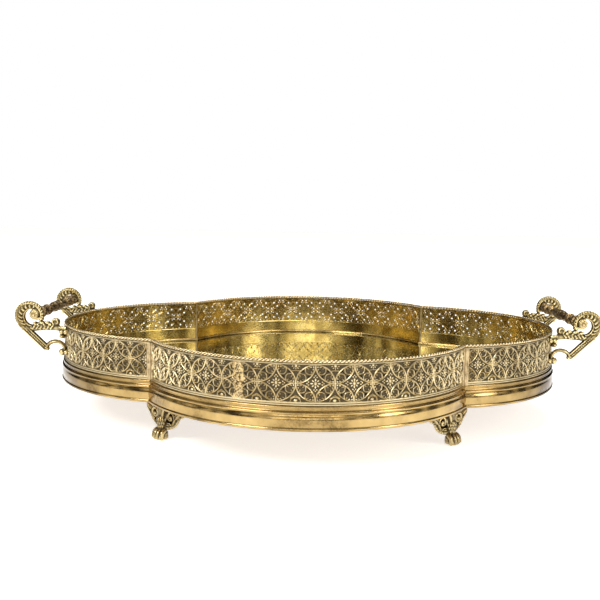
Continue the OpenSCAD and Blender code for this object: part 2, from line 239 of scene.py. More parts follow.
class Lobe:
    """One arc of the plan. Offsets are measured outwards from the gallery's middle."""

    def __init__(self, side):
        low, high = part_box("gallery_" + side)
        reach = {"front": -low[1], "back": high[1], "left": -low[0], "right": high[0]}[side]
        self.side, self.radius, self.turn = side, LOBE_RADIUS[side], LOBE_TURN[side]
        self.out = reach - STRIP_T / 2 - self.radius

    def meet(self, other):
        """Finds the cusp with the neighbouring lobe and the line that halves it."""
        gap = hypot(self.out, other.out)
        along = (self.radius ** 2 - other.radius ** 2 + gap ** 2) / (2 * gap)
        across = sqrt(self.radius ** 2 - along ** 2)
        swing = atan2(across, along)
        self.half = pi - atan2(other.out, self.out) - swing
        self.mitre = None

    def end(self, offset):
        """The angle from the lobe's middle at which a line at this offset meets the mitre."""
        cusp = self.radius * Vector((cos(self.half), sin(self.half)))
        way = Vector((cos(self.half - self.mitre), sin(self.half - self.mitre)))
        b = cusp.dot(way)
        step = -b + sqrt(b * b - cusp.length_squared + (self.radius + offset) ** 2)
        point = cusp + step * way
        return atan2(point.y, point.x)

    def point(self, offset, angle, z):
        r = self.radius + offset
        x, y = self.out + r * cos(angle), r * sin(angle)
        return Vector((x * cos(self.turn) - y * sin(self.turn),
                       x * sin(self.turn) + y * cos(self.turn), z))


lobes = {side: Lobe(side) for side in LOBE_RADIUS}
for side, lobe in lobes.items():
    lobe.meet(lobes["left" if side in ("front", "back") else "front"])
for lobe in lobes.values():
    lobe.mitre = (lobes["front"].half + lobes["left"].half - pi / 2) / 2


def make_piece(name, points, faces, material, relief=None, smooth=True):
    """A mesh object at the origin, with its faces turned outwards."""
    mesh = bpy.data.meshes.new(name)
    mesh.from_pydata([tuple(p) for p in points], [], faces)
    if relief is not None:
        mesh.attributes.new("relief", "FLOAT", "POINT").data.foreach_set("value", relief)
    work = bmesh.new()
    work.from_mesh(mesh)
    bmesh.ops.recalc_face_normals(work, faces=work.faces[:])
    work.to_mesh(mesh)
    work.free()
    mesh.materials.append(material)
    mesh.polygons.foreach_set("use_smooth", [smooth] * len(mesh.polygons))
    piece = bpy.data.objects.new(name, mesh)
    bpy.context.scene.collection.objects.link(piece)
    return piece


def sweep_lobe(lobe, section, steps):
    """Points and faces of a closed section swept round a lobe from mitre to mitre."""
    count = len(section)
    ends = [lobe.end(offset) for offset, z in section]
    points = [lobe.point(offset, end * (2 * i / steps - 1), z)
              for i in range(steps + 1) for (offset, z), end in zip(section, ends)]
    faces = [(i * count + j, i * count + (j + 1) % count,
              (i + 1) * count + (j + 1) % count, (i + 1) * count + j)
             for i in range(steps) for j in range(count)]
    faces += [tuple(range(count)), tuple(range(steps * count, (steps + 1) * count))]
    return points, faces


def arc(centre, radius, start, stop, count):
    """Points along an arc, angles in degrees."""
    turns = [radians(start + (stop - start) * i / count) for i in range(count + 1)]
    return [(centre[0] + radius * cos(t), centre[1] + radius * sin(t)) for t in turns]


def crease(piece, angle=35):
    """Keeps edges sharper than this angle crisp on a smooth piece."""
    piece.data.set_sharp_from_angle(angle=radians(angle))


skirt_low, skirt_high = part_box("skirt_front")
skirt_base, skirt_top = skirt_low[2] / MM, skirt_high[2] / MM
skirt_reach = (-skirt_low[1] - lobes["front"].out - lobes["front"].radius) / MM
plate_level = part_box("base_plate")[0][2] / MM
face_top = skirt_base + (skirt_top - skirt_base) * 0.66
section = (
    [(-1.5, plate_level), (-1.5, skirt_base + 0.25), (-1.25, skirt_base)]
    + arc((skirt_reach - 1.2, skirt_base + 1.2), 1.2, -90, 62, 12)
    + arc((skirt_reach - 8.2, (skirt_base + face_top) / 2 + 1), 7.9, -20, 23, 16)
    + arc((skirt_reach - 1.3, face_top + 0.9), 0.9, -75, 88, 12)
    + arc((2.15, face_top + 2.62), 0.72, 230, 140, 7)
    + arc((1.35, skirt_top - 0.7), 0.7, -60, 90, 10)
    + [(STRIP_T / MM / 2 + 0.05, skirt_top), (STRIP_T / MM / 2 + 0.05, plate_level)])
section = [(offset * MM, z * MM) for offset, z in section]
# ends paints a dark reflection on the skirt towards the tray's far ends
polished = metal("skirt_polished", rgb(0.55, 0.39, 0.16), rgb(0.28, 0.185, 0.068),
                 rgb(0.07, 0.042, 0.016), 0.12, grain=0.010, brush=0.004, cloud=30.0, ends=0.85)
for side, lobe in lobes.items():
    points, faces = sweep_lobe(lobe, section, SWEEP_STEPS)
    skirt = make_piece("skirt_" + side + "_moulding", points, faces, polished)
    crease(skirt, 40)
    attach(skirt, "root")
    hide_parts("skirt_" + side)


# ---- Floor bead ------------------------------------------------------------------------
# A plain drawn wire follows each lobe on the arris of the glass and holds it down. The
# four lengths are mitred at the cusps and soldered to the inside of the gallery.

def reach_of(name, side):
    """How far a piece of one lobe reaches beyond the lobe's radius."""
    low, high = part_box(name)
    far = {"front": -low[1], "back": high[1], "left": -low[0], "right": high[0]}[side]
    return far - lobes[side].out - lobes[side].radius


bright = metal("bright_gilt", rgb(0.72, 0.55, 0.26), rgb(0.50, 0.36, 0.15),
               rgb(0.12, 0.07, 0.03), 0.18, grain=0.02)
for side, lobe in lobes.items():
    name = "floor_bead_" + side
    low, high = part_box(name)
    wire_r = (high[2] - low[2]) / 2
    centre = (reach_of(name, side) - wire_r, low[2] + wire_r)
    points, faces = sweep_lobe(lobe, arc(centre, wire_r, 0, 345, 23), SWEEP_STEPS)
    wire = make_piece(name + "_wire", points, faces, bright)
    crease(wire, 50)
    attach(wire, "root")
    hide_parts(name)


# ---- Gallery ---------------------------------------------------------------------------
# Each lobe's wall is one strip of stamped brass filigree: crossing rings of round wire,
# fleurs, rosettes and domes over a browned ground with small piercings. The ground and the
# sides of the wires also carry painted shade. One cell of the pattern repeats along the
# strip, between a plain foot band and a milled top rail.

CELL_W = 22.2
OPEN_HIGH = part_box("gallery_front")[1][2] / MM - 0.8
OPEN_LOW = OPEN_HIGH - 21.2
cell_h = OPEN_HIGH - OPEN_LOW
cell_mid = (OPEN_HIGH + OPEN_LOW) / 2
PATTERN_SHIFT = {"front": -6.6, "back": -6.6, "left": -9.6, "right": -7.1}
WIRE_W = 0.50
WIRE_OUT = 0.95
WIRE_IN = -0.50
GROUND_T = 0.25


class Relief:
    """Gathers one cell of the pattern: x along the strip, y outwards, z up, in mm.

    level is each point's relief: low on the sides of wires and domes and on the ground, which
    the finish darkens with dirt and painted shade, and over 1 on the back.
    """

    def __init__(self):
        self.points, self.faces, self.level = [], [], []

    def at(self, nx, nz):
        """A place in the cell given as shares of its width and height."""
        return Vector((nx * CELL_W, nz * cell_h + cell_mid))

    def wire(self, path, w=WIRE_W, closed=False, top=WIRE_OUT, under=WIRE_IN):
        """A wire along a path, with a rounded top and flat sides."""
        # the third value is the relief: low on a wire's sides, for dirt and painted shade
        ring = [(w, 0.05, 0.15), (w * 0.62, top * 0.78, 0.75), (0.0, top, 1.0),
                (-w * 0.62, top * 0.78, 0.75), (-w, 0.05, 0.15), (0.0, under, 1.6)]
        start, count, n = len(self.points), len(path), len(ring)
        for i, p in enumerate(path):
            before = path[i - 1] if closed or i else p
            after = path[(i + 1) % count] if closed or i < count - 1 else p
            way = (after - before).normalized()
            for aside, out, level in ring:
                self.points.append((p.x - way.y * aside, out, p.y + way.x * aside))
                self.level.append(level)
        for i in range(count if closed else count - 1):
            a, b = start + i * n, start + (i + 1) % count * n
            self.faces += [(a + j, a + (j + 1) % n, b + (j + 1) % n, b + j) for j in range(n)]
        if not closed:
            self.faces.append(tuple(start + j for j in range(n)))
            self.faces.append(tuple(start + (count - 1) * n + j for j in range(n)))

    def dome(self, centre, rx, rz, out, turn=0.0, sides=8, rings=3, base=0.1):
        """A raised boss: an oval dome standing on the ground, with its back closed."""
        start = len(self.points)
        for k in range(rings):
            lift = sin(k / rings * pi / 2)
            grow = cos(k / rings * pi / 2)
            for j in range(sides):
                a = 2 * pi * j / sides
                x, z = rx * grow * cos(a), rz * grow * sin(a)
                self.points.append((centre.x + x * cos(turn) - z * sin(turn),
                                    base + (out - base) * lift,
                                    centre.y + x * sin(turn) + z * cos(turn)))
                self.level.append(0.2 + 0.7 * lift)
        self.points += [(centre.x, out, centre.y), (centre.x, WIRE_IN, centre.y)]
        self.level += [1.0, 1.6]
        tip = start + rings * sides
        for k in range(rings - 1):
            a, b = start + k * sides, start + (k + 1) * sides
            self.faces += [(a + j, a + (j + 1) % sides, b + (j + 1) % sides, b + j)
                           for j in range(sides)]
        last = start + (rings - 1) * sides
        self.faces += [(last + j, last + (j + 1) % sides, tip) for j in range(sides)]
        self.faces += [(start + (j + 1) % sides, start + j, tip + 1) for j in range(sides)]


def oval(centre, rx, rz, start, stop, count):
    """Points along an oval, angles in degrees. A full turn leaves out its last point."""
    last = count if stop - start < 360 else count - 1
    turns = [radians(start + (stop - start) * i / count) for i in range(last + 1)]
    return [centre + Vector((rx * cos(t), rz * sin(t))) for t in turns]


def bow(a, b, c, count=6):
    """Points along a curve from a to c that is drawn towards b."""
    steps = [i / count for i in range(count + 1)]
    return [(1 - t) ** 2 * a + 2 * t * (1 - t) * b + t * t * c for t in steps]


cell = Relief()
place = cell.at
half_w, half_h = CELL_W / 2, cell_h / 2
cell.wire(oval(place(0, 0), half_w, half_h, 0, 360, 44), closed=True)
cell.wire(oval(place(0.5, 0.5), half_w, half_h, 180, 360, 24))
cell.wire(oval(place(0.5, -0.5), half_w, half_h, 0, 180, 24))
holes = []


def quarter(sx, sz):
    """Places in one quarter of the cell, as shares of its size from the middle."""
    return lambda nx, nz: place(sx * nx, sz * nz)


for sx in (-1, 1):
    for sz in (-1, 1):
        spot = quarter(sx, sz)
        # the two bars of the hourglass that halves the leaf between the rings
        for lean in (-1, 1):
            outer, inner = radians(45 + 15 * lean), radians(225 - 15 * lean)
            ends = [spot(0.5 * cos(outer), 0.5 * sin(outer)),
                    spot(0.5 + 0.5 * cos(inner), 0.5 + 0.5 * sin(inner))]
            waist = spot(0.25 - 0.022 * lean, 0.25 + 0.022 * lean)
            cell.wire(bow(ends[0], 2 * waist - (ends[0] + ends[1]) / 2, ends[1], 9), 0.40)
        # a fleur of three beads between two small scrolls in each half of the leaf
        for a, b in ((0.095, 0.405), (0.405, 0.095)):
            heart = spot(a, b)
            stem = (heart - spot(0.25, 0.25)).normalized()
            cross = Vector((-stem.y, stem.x))
            cell.dome(heart + stem * 1.25, 0.62, 0.62, 0.95, sides=7, rings=2)
            for lean in (-1, 1):
                cell.dome(heart + cross * 0.8 * lean + stem * 0.2, 0.5, 0.5, 0.85, sides=7, rings=2)
                hook = []
                for step in range(7):
                    a, r = radians(120 - 48 * step), 1.05 - 0.07 * step
                    hook.append(heart + cross * lean * (1.55 + r * cos(a)) + stem * (r * sin(a) - 1.1))
                cell.wire(hook, 0.32, top=0.85)
        holes += [(spot(0.075, 0.425), 0.50, 0.75), (spot(0.425, 0.075), 0.75, 0.50),
                  (spot(0.045, 0.335), 0.45, 0.62), (spot(0.335, 0.045), 0.62, 0.45),
                  (spot(0.325, 0.325), 0.80, 0.80), (spot(0.175, 0.175), 0.75, 0.75),
                  (spot(0.115, 0.345), 0.42, 0.42), (spot(0.345, 0.115), 0.42, 0.42)]
# rosette in the middle of the cell
for turn in (0, 90, 180, 270):
    way = Vector((cos(radians(turn)), sin(radians(turn))))
    cross = Vector((-way.y, way.x))
    heart = place(0, 0) + Vector((way.x * 3.9, way.y * 3.6))
    cell.dome(place(0, 0) + way * 2.1, 1.15, 0.62, 0.85, radians(turn), 8, 2)
    cell.dome(heart + way * 0.85, 0.55, 0.55, 0.95, sides=7, rings=2)
    for lean in (-1, 1):
        cell.dome(heart + cross * 0.8 * lean, 0.55, 0.55, 0.9, sides=7, rings=2)
    petal = radians(turn + 45)
    cell.dome(place(0, 0) + Vector((cos(petal), sin(petal))) * 2.0, 1.0, 0.5, 0.75, petal, 8, 2)
cell.dome(place(0, 0), 0.95, 1.35, 1.15, sides=10)
# column between two cells: boss, half flower under the top rail, ringed dome at the foot
cell.dome(place(0.5, 0), 0.8, 0.8, 1.05, sides=10)
for step in range(6):
    a = radians(60 * step + 30)
    cell.dome(place(0.5, 0) + Vector((cos(a), sin(a))) * 1.3, 0.42, 0.42, 0.85, sides=6, rings=2)
cell.dome(place(0.5, 0.47), 0.9, 1.0, 0.85, sides=10)
for step in range(5):
    a = radians(180 + 36 * step + 18)
    cell.dome(place(0.5, 0.49) + Vector((cos(a) * 1.9, sin(a) * 2.0)), 0.42, 0.75, 0.85,
              a - pi / 2, sides=6, rings=2)
cell.wire([place(0.395, 0.335), place(0.5, 0.345), place(0.605, 0.335)], 0.42)
cell.dome(place(0.5, -0.47), 1.2, 1.0, 0.8, sides=12)
cell.wire(oval(place(0.5, -0.5), 2.9, 2.6, 0, 180, 12), 0.40)
cell.wire([place(0.375, -0.41), place(0.5, -0.33), place(0.625, -0.41)], 0.42)
for side in (-0.5, 0.5):
    holes += [(place(side, 0.275), 0.95, 0.95), (place(side, -0.265), 0.75, 0.85),
              (place(side - 0.12, -0.45), 0.75, 0.55), (place(side + 0.12, -0.45), 0.75, 0.55),
              (place(side, -0.395), 0.9, 0.3)]


def pierced_ground():
    """The ground of one cell, cut through, and split often enough to bend smoothly."""
    outline = bpy.data.curves.new("ground_outline", "CURVE")
    outline.dimensions, outline.fill_mode = "2D", "BOTH"
    outline.extrude = GROUND_T
    edge = [Vector((sx * half_w, z)) for sx, z in
            ((-1, OPEN_LOW - 0.6), (1, OPEN_LOW - 0.6), (1, OPEN_HIGH + 0.5), (-1, OPEN_HIGH + 0.5))]
    rings = [oval(c, rx, rz, 0, 360, 8) for c, rx, rz in holes if abs(c.x) < half_w - 1.0]
    for ring in [edge] + rings:
        spline = outline.splines.new("POLY")
        spline.points.add(len(ring) - 1)
        spline.use_cyclic_u = True
        for point, p in zip(spline.points, ring):
            point.co = (p.x, p.y, 0.0, 1.0)
    holder = bpy.data.objects.new("ground_outline", outline)
    mesh = bpy.data.meshes.new_from_object(holder)
    bpy.data.objects.remove(holder)
    work = bmesh.new()
    work.from_mesh(mesh)
    ends = [f for f in work.faces if abs(abs(f.calc_center_median().x) - half_w) < 1e-4]
    bmesh.ops.delete(work, geom=ends, context="FACES")
    for cut in range(1, 8):
        everything = work.verts[:] + work.edges[:] + work.faces[:]
        x = -half_w + CELL_W * cut / 8
        bmesh.ops.bisect_plane(work, geom=everything, plane_co=(x, 0, 0), plane_no=(1, 0, 0))
    bmesh.ops.remove_doubles(work, verts=work.verts[:], dist=0.002)
    bmesh.ops.triangulate(work, faces=work.faces[:])
    start = len(cell.points)
    work.verts.ensure_lookup_table()
    for v in work.verts:
        cell.points.append((v.co.x, v.co.z, v.co.y))
        # the front of the ground takes a low relief: patina and painted shade
        cell.level.append(0.16 if v.co.z > 0 else 1.5)
    cell.faces += [tuple(start + v.index for v in f.verts) for f in work.faces]
    work.free()


pierced_ground()
column = bpy.data.meshes.new("filigree_cell")
column.from_pydata(cell.points, [], cell.faces)
column.attributes.new("relief", "FLOAT", "POINT").data.foreach_set("value", cell.level)
column_object = bpy.data.objects.new("filigree_cell", column)

# relief darkens the hollows with dirt and painted shade; ends paints a dark reflection at the tray's far ends
aged = metal("aged_gilt", rgb(0.80, 0.67, 0.41), rgb(0.54, 0.43, 0.24),
             rgb(0.052, 0.040, 0.024), 0.26, relief=1.0, grain=0.05,
             lining=(rgb(0.70, 0.54, 0.20), rgb(0.38, 0.27, 0.08)), ends=0.35)


def open_tree(name, ports, result):
    """An empty geometry tree with named inputs, and those inputs ready to be wired."""
    tree = bpy.data.node_groups.new(name, "GeometryNodeTree")
    for label, kind in ports.items():
        tree.interface.new_socket(name=label, in_out="INPUT", socket_type="NodeSocket" + kind)
    tree.interface.new_socket(name=result, in_out="OUTPUT", socket_type="NodeSocketGeometry")
    net = Net(tree)
    ask = tree.nodes.new("NodeGroupInput")
    return net, {label: Wire(net, ask.outputs[label]) for label in ports}


def repeat_tree():
    """Cells in a row along X, bent round a lobe, in metres."""
    net, port = open_tree("filigree_strip", {
        "Cell": "Object", "Count": "Int", "Pitch": "Float", "First": "Float",
        "Radius": "Float", "Centre": "Float", "Turn": "Float", "Metal": "Material"}, "Strip")
    start = net.node("ShaderNodeCombineXYZ", {}, {"X": port["First"]})
    step = net.node("ShaderNodeCombineXYZ", {}, {"X": port["Pitch"]})
    row = net.node("GeometryNodeMeshLine", {}, {
        "Count": port["Count"], "Start Location": start, "Offset": step})
    shape = net.node("GeometryNodeObjectInfo", {}, {"Object": port["Cell"]}, out="Geometry")
    copies = net.node("GeometryNodeInstanceOnPoints", {}, {"Points": row, "Instance": shape})
    strip = net.node("GeometryNodeRealizeInstances", {}, {"Geometry": copies})
    strip = net.node("GeometryNodeMergeByDistance", {}, {"Geometry": strip, "Distance": 0.003})
    where = net.node("GeometryNodeInputPosition")
    x, y, z = (net.node("ShaderNodeSeparateXYZ", {}, {"Vector": where}, out=i) for i in range(3))
    angle = x / port["Radius"]
    reach = port["Radius"] + y
    out, along = port["Centre"] + reach * angle.cosine(), reach * angle.sine()
    flat = net.node("ShaderNodeCombineXYZ", {}, {"X": out * MM, "Y": along * MM, "Z": z * MM})
    bent = net.node("ShaderNodeVectorRotate", {"rotation_type": "Z_AXIS"}, {
        "Vector": flat, "Angle": port["Turn"]})
    strip = net.node("GeometryNodeSetPosition", {}, {"Geometry": strip, "Position": bent})
    strip = net.node("GeometryNodeSetMaterial", {}, {"Geometry": strip, "Material": port["Metal"]})
    net.node("NodeGroupOutput", {}, {"Strip": strip})
    return net.tree


def grown(name, tree, values):
    """Runs a geometry tree with its inputs set and hands back the plain mesh."""
    holder = bpy.data.objects.new(name, bpy.data.meshes.new(name))
    bpy.context.scene.collection.objects.link(holder)
    modifier = holder.modifiers.new(name, "NODES")
    modifier.node_group = tree
    for item in tree.interface.items_tree:
        if item.in_out == "INPUT" and item.name in values:
            modifier[item.identifier] = values[item.name]
    ready = bpy.context.evaluated_depsgraph_get()
    mesh = bpy.data.meshes.new_from_object(holder.evaluated_get(ready), depsgraph=ready)
    holder.modifiers.remove(modifier)
    bpy.data.objects.remove(holder)
    return mesh


def trim(mesh, lobe, half):
    """Cuts a strip square to its run at both ends, and closes the cuts."""
    work = bmesh.new()
    work.from_mesh(mesh)
    spin = Matrix.Rotation(lobe.turn, 3, "Z")
    for side in (-1, 1):
        normal = spin @ Vector((-sin(half * side), cos(half * side), 0)) * side
        everything = work.verts[:] + work.edges[:] + work.faces[:]
        bmesh.ops.bisect_plane(work, geom=everything, plane_co=spin @ Vector((lobe.out, 0, 0)),
                               plane_no=normal, clear_outer=True)
    edges = [e for e in work.edges if e.is_boundary]
    bmesh.ops.holes_fill(work, edges=edges, sides=0)
    work.to_mesh(mesh)
    work.free()


def milled_rails(side, lobe, half):
    """Foot band and top rail of a strip: a swept rim and a wall with fine upright milling."""
    low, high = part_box("gallery_" + side)
    foot, brow = low[2] / MM, high[2] / MM
    t = STRIP_T / MM / 2
    bead = [(t, -2.4), (t + 0.45, -2.1), (t + 0.5, -1.6), (t + 0.1, -1.2), (t + 0.35, -0.85),
            (t + 0.4, -0.4), (t + 0.1, 0.0), (0.3, 0.2), (-0.3, 0.2), (-t, -0.1)]
    foot_rail = [(-t, foot), (t, foot)] + [(offset, OPEN_LOW + rise) for offset, rise in bead]
    top_rail = [(-t, OPEN_HIGH + 0.1), (-0.3, OPEN_HIGH - 0.1), (0.3, OPEN_HIGH - 0.1),
                (t + 0.25, OPEN_HIGH + 0.15), (t + 0.35, OPEN_HIGH + 0.55),
                (t + 0.05, OPEN_HIGH + 0.85), (t, brow), (-t, brow)]
    points, faces, level = [], [], []
    for section in (foot_rail, top_rail):
        steps = 240
        n, start = len(section), len(points)
        for i in range(steps + 1):
            a = half * (2 * i / steps - 1)
            for offset, z in section:
                proud = offset > t + 0.3
                nudge = 0.10 * sin(i * pi / 2) if proud else 0.0
                points.append(lobe.point((offset + nudge) * MM, a, z * MM))
                # the plain wall takes a lower relief than the beads: dirt and painted shade
                level.append(0.62 if proud else 1.5 if offset < 0 else 0.38)
        faces += [(start + i * n + j, start + i * n + (j + 1) % n,
                   start + (i + 1) * n + (j + 1) % n, start + (i + 1) * n + j)
                  for i in range(steps) for j in range(n)]
        last = start + steps * n
        faces += [tuple(range(start, start + n)), tuple(range(last, last + n))]
    return points, faces, level


def weld(name, meshes, material):
    """Joins plain meshes into one piece, faces outwards."""
    work = bmesh.new()
    for mesh in meshes:
        work.from_mesh(mesh)
    bmesh.ops.recalc_face_normals(work, faces=work.faces[:])
    joined = bpy.data.meshes.new(name)
    work.to_mesh(joined)
    work.free()
    joined.materials.clear()
    joined.materials.append(material)
    joined.polygons.foreach_set("material_index", [0] * len(joined.polygons))
    joined.polygons.foreach_set("use_smooth", [True] * len(joined.polygons))
    piece = bpy.data.objects.new(name, joined)
    bpy.context.scene.collection.objects.link(piece)
    return piece


strip_maker = repeat_tree()
for side, lobe in lobes.items():
    half = lobe.half - 1.0 * MM / lobe.radius
    run = 2 * lobe.half * lobe.radius / MM
    count = ceil(run / CELL_W) + 2
    middle = PATTERN_SHIFT[side] + (0.5 - count // 2) * CELL_W
    strip = grown("strip_" + side, strip_maker, {
        "Cell": column_object, "Count": count, "Pitch": CELL_W, "First": middle,
        "Radius": lobe.radius / MM, "Centre": lobe.out / MM, "Turn": lobe.turn, "Metal": aged})
    trim(strip, lobe, half)
    points, faces, level = milled_rails(side, lobe, half)
    rails = bpy.data.meshes.new("rails_" + side)
    rails.from_pydata([tuple(p) for p in points], [], faces)
    rails.attributes.new("relief", "FLOAT", "POINT").data.foreach_set("value", level)
    wall = weld("gallery_" + side + "_filigree", [strip, rails], aged)
    crease(wall, 42)
    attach(wall, "root")
    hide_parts("gallery_" + side)


# ---- Seam patch and corner strips ------------------------------------------------------
# The front strip was closed with a lumpy run of gold-toned solder over its lap joint.
# At the cusps a folded strip of polished brass covers the ends of two lobes.

patch_low, patch_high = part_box("seam_patch")
front = lobes["front"]
patch_mid = -40.5 * MM
patch_half = 4.5 * MM
COLUMNS, ROWS = 26, 64
points, faces, level = [], [], []
for j in range(ROWS + 1):
    v = j / ROWS
    z = patch_low[2] + (patch_high[2] - patch_low[2]) * v
    wander = noise.noise(Vector((1.7, v * 4.0, 0.3))) * 1.3 * MM
    width = patch_half * (0.80 + 0.45 * noise.noise(Vector((5.1, v * 5.5, 2.0))))
    for i in range(COLUMNS + 1):
        u = 2 * i / COLUMNS - 1
        edge = noise.noise(Vector((u * 2.0, v * 9.0, 7.0))) * 0.5 * MM
        s = patch_mid + wander + u * width + edge * abs(u)
        crown = sqrt(max(0.0, 1 - u * u)) * min(1.0, 12 * v, 12 * (1 - v))
        lump = noise.noise(Vector((s / MM * 0.55, 0, z / MM * 0.55)))
        small = noise.noise(Vector((s / MM * 1.5, 4, z / MM * 1.5)))
        rise = (0.30 + crown * (0.75 + 0.55 * lump + 0.35 * small)) * MM
        points.append(front.point(rise, s / front.radius, z))
        # relief follows the lumps: the low parts take dirt and painted shade
        level.append(0.50 + 0.9 * lump + 0.9 * small)
top_count = len(points)
for j in range(ROWS + 1):
    for i in range(COLUMNS + 1):
        p = points[j * (COLUMNS + 1) + i]
        points.append(p + Vector((0, 1, 0)) * 0.5 * MM)
        level.append(0.5)
for j in range(ROWS):
    for i in range(COLUMNS):
        a = j * (COLUMNS + 1) + i
        b = a + COLUMNS + 1
        faces.append((a, a + 1, b + 1, b))
        faces.append((top_count + a, top_count + b, top_count + b + 1, top_count + a + 1))
rim = ([(0, i) for i in range(COLUMNS)] + [(j, COLUMNS) for j in range(ROWS)]
       + [(ROWS, i) for i in range(COLUMNS, 0, -1)] + [(j, 0) for j in range(ROWS, 0, -1)])
rim = [j * (COLUMNS + 1) + i for j, i in rim]
faces += [(a, top_count + a, top_count + b, b) for a, b in zip(rim, rim[1:] + rim[:1])]
solder = metal("solder_gilt", rgb(0.74, 0.56, 0.28), rgb(0.50, 0.36, 0.17),
               rgb(0.09, 0.06, 0.03), 0.30, relief=1.0, grain=0.14, cloud=160.0)
patch = make_piece("seam_patch_solder", points, faces, solder, relief=level)
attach(patch, "root")
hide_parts("seam_patch")

mottled = metal("corner_gilt", rgb(0.60, 0.47, 0.27), rgb(0.36, 0.27, 0.14),
                rgb(0.09, 0.06, 0.03), 0.30, grain=0.16, cloud=330.0)
for name in nodes:
    if name.startswith("corner_strip"):
        dress(name, mottled)


# ---- Rim rope --------------------------------------------------------------------------
# Two strands of brass wire, twisted together, are soldered along the top rail of each
# strip and end where two lobes meet.

ROPE_STRANDS = 2
ROPE_LAY = 5.0


def rope_tree():
    """One strand wound about a lobe's rim, as a tube with closed ends."""
    net, port = open_tree("rope_strand", {
        "Points": "Int", "Half": "Float", "Radius": "Float", "Centre": "Float",
        "Height": "Float", "Throw": "Float", "Strand": "Float", "Phase": "Float",
        "Lay": "Float", "Turn": "Float", "Metal": "Material"}, "Rope")
    line = net.node("GeometryNodeMeshLine", {}, {"Count": port["Points"]})
    index = net.node("GeometryNodeInputIndex")
    angle = (index / (port["Points"] - 1.0) * 2.0 - 1.0) * port["Half"]
    twist = angle * port["Radius"] / port["Lay"] * (2 * pi) + port["Phase"]
    reach = port["Radius"] + twist.cosine() * port["Throw"]
    spot = net.node("ShaderNodeCombineXYZ", {}, {
        "X": port["Centre"] + reach * angle.cosine(), "Y": reach * angle.sine(),
        "Z": port["Height"] + twist.sine() * port["Throw"]})
    bent = net.node("ShaderNodeVectorRotate", {"rotation_type": "Z_AXIS"}, {
        "Vector": spot, "Angle": port["Turn"]})
    line = net.node("GeometryNodeSetPosition", {}, {"Geometry": line, "Position": bent})
    path = net.node("GeometryNodeMeshToCurve", {}, {"Mesh": line})
    section = net.node("GeometryNodeCurvePrimitiveCircle", {}, {
        "Resolution": 8, "Radius": port["Strand"]})
    tube = net.node("GeometryNodeCurveToMesh", {}, {
        "Curve": path, "Profile Curve": section, "Fill Caps": True})
    tube = net.node("GeometryNodeRealizeInstances", {}, {"Geometry": tube})
    tube = net.node("GeometryNodeSetMaterial", {}, {"Geometry": tube, "Material": port["Metal"]})
    net.node("NodeGroupOutput", {}, {"Rope": tube})
    return net.tree


def shade_relief(mesh, level):
    """Writes the relief of each point, from 0 in a hollow to 1 on a rubbed height. The finish
    darkens low relief with dirt and painted shade.
    """
    store = mesh.attributes.get("relief") or mesh.attributes.new("relief", "FLOAT", "POINT")
    store.data.foreach_set("value", level)


rope_brass = metal("rope_gilt", rgb(0.88, 0.72, 0.44), rgb(0.66, 0.51, 0.28),
                   rgb(0.07, 0.045, 0.025), 0.22, relief=1.0, grain=0.03)
strand_maker = rope_tree()
for side, lobe in lobes.items():
    name = "rim_rope_" + side
    low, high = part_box(name)
    rope_r = (high[2] - low[2]) / 2
    strand_r = rope_r * 0.54
    height = low[2] + rope_r
    strands = []
    for k in range(ROPE_STRANDS):
        strands.append(grown(name, strand_maker, {
            "Points": 420, "Half": lobe.half, "Radius": lobe.radius, "Centre": lobe.out,
            "Height": height, "Throw": rope_r - strand_r, "Strand": strand_r,
            "Phase": 2 * pi * k / ROPE_STRANDS, "Lay": ROPE_LAY * MM, "Turn": lobe.turn,
            "Metal": rope_brass}))
    rope = weld(name + "_twist", strands, rope_brass)
    core = Matrix.Rotation(lobe.turn, 3, "Z") @ Vector((lobe.out, 0, 0))
    # relief grows outwards from the rope's axis: the crevices between strands take dirt and painted shade
    far = []
    for v in rope.data.vertices:
        flat = (v.co - core).to_2d().length - lobe.radius
        far.append(hypot(flat, v.co.z - height) / rope_r)
    shade_relief(rope.data, [(f - 0.35) / 0.6 for f in far])
    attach(rope, "root")
    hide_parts(name)


# ---- Handle brackets -------------------------------------------------------------------
# Four brackets are cast in the lost-wax way: a pearled volute with a chased leaf, a leafy
# arm to the rim, a fluted strut and an arch back to the wall. Two screws hold each one.

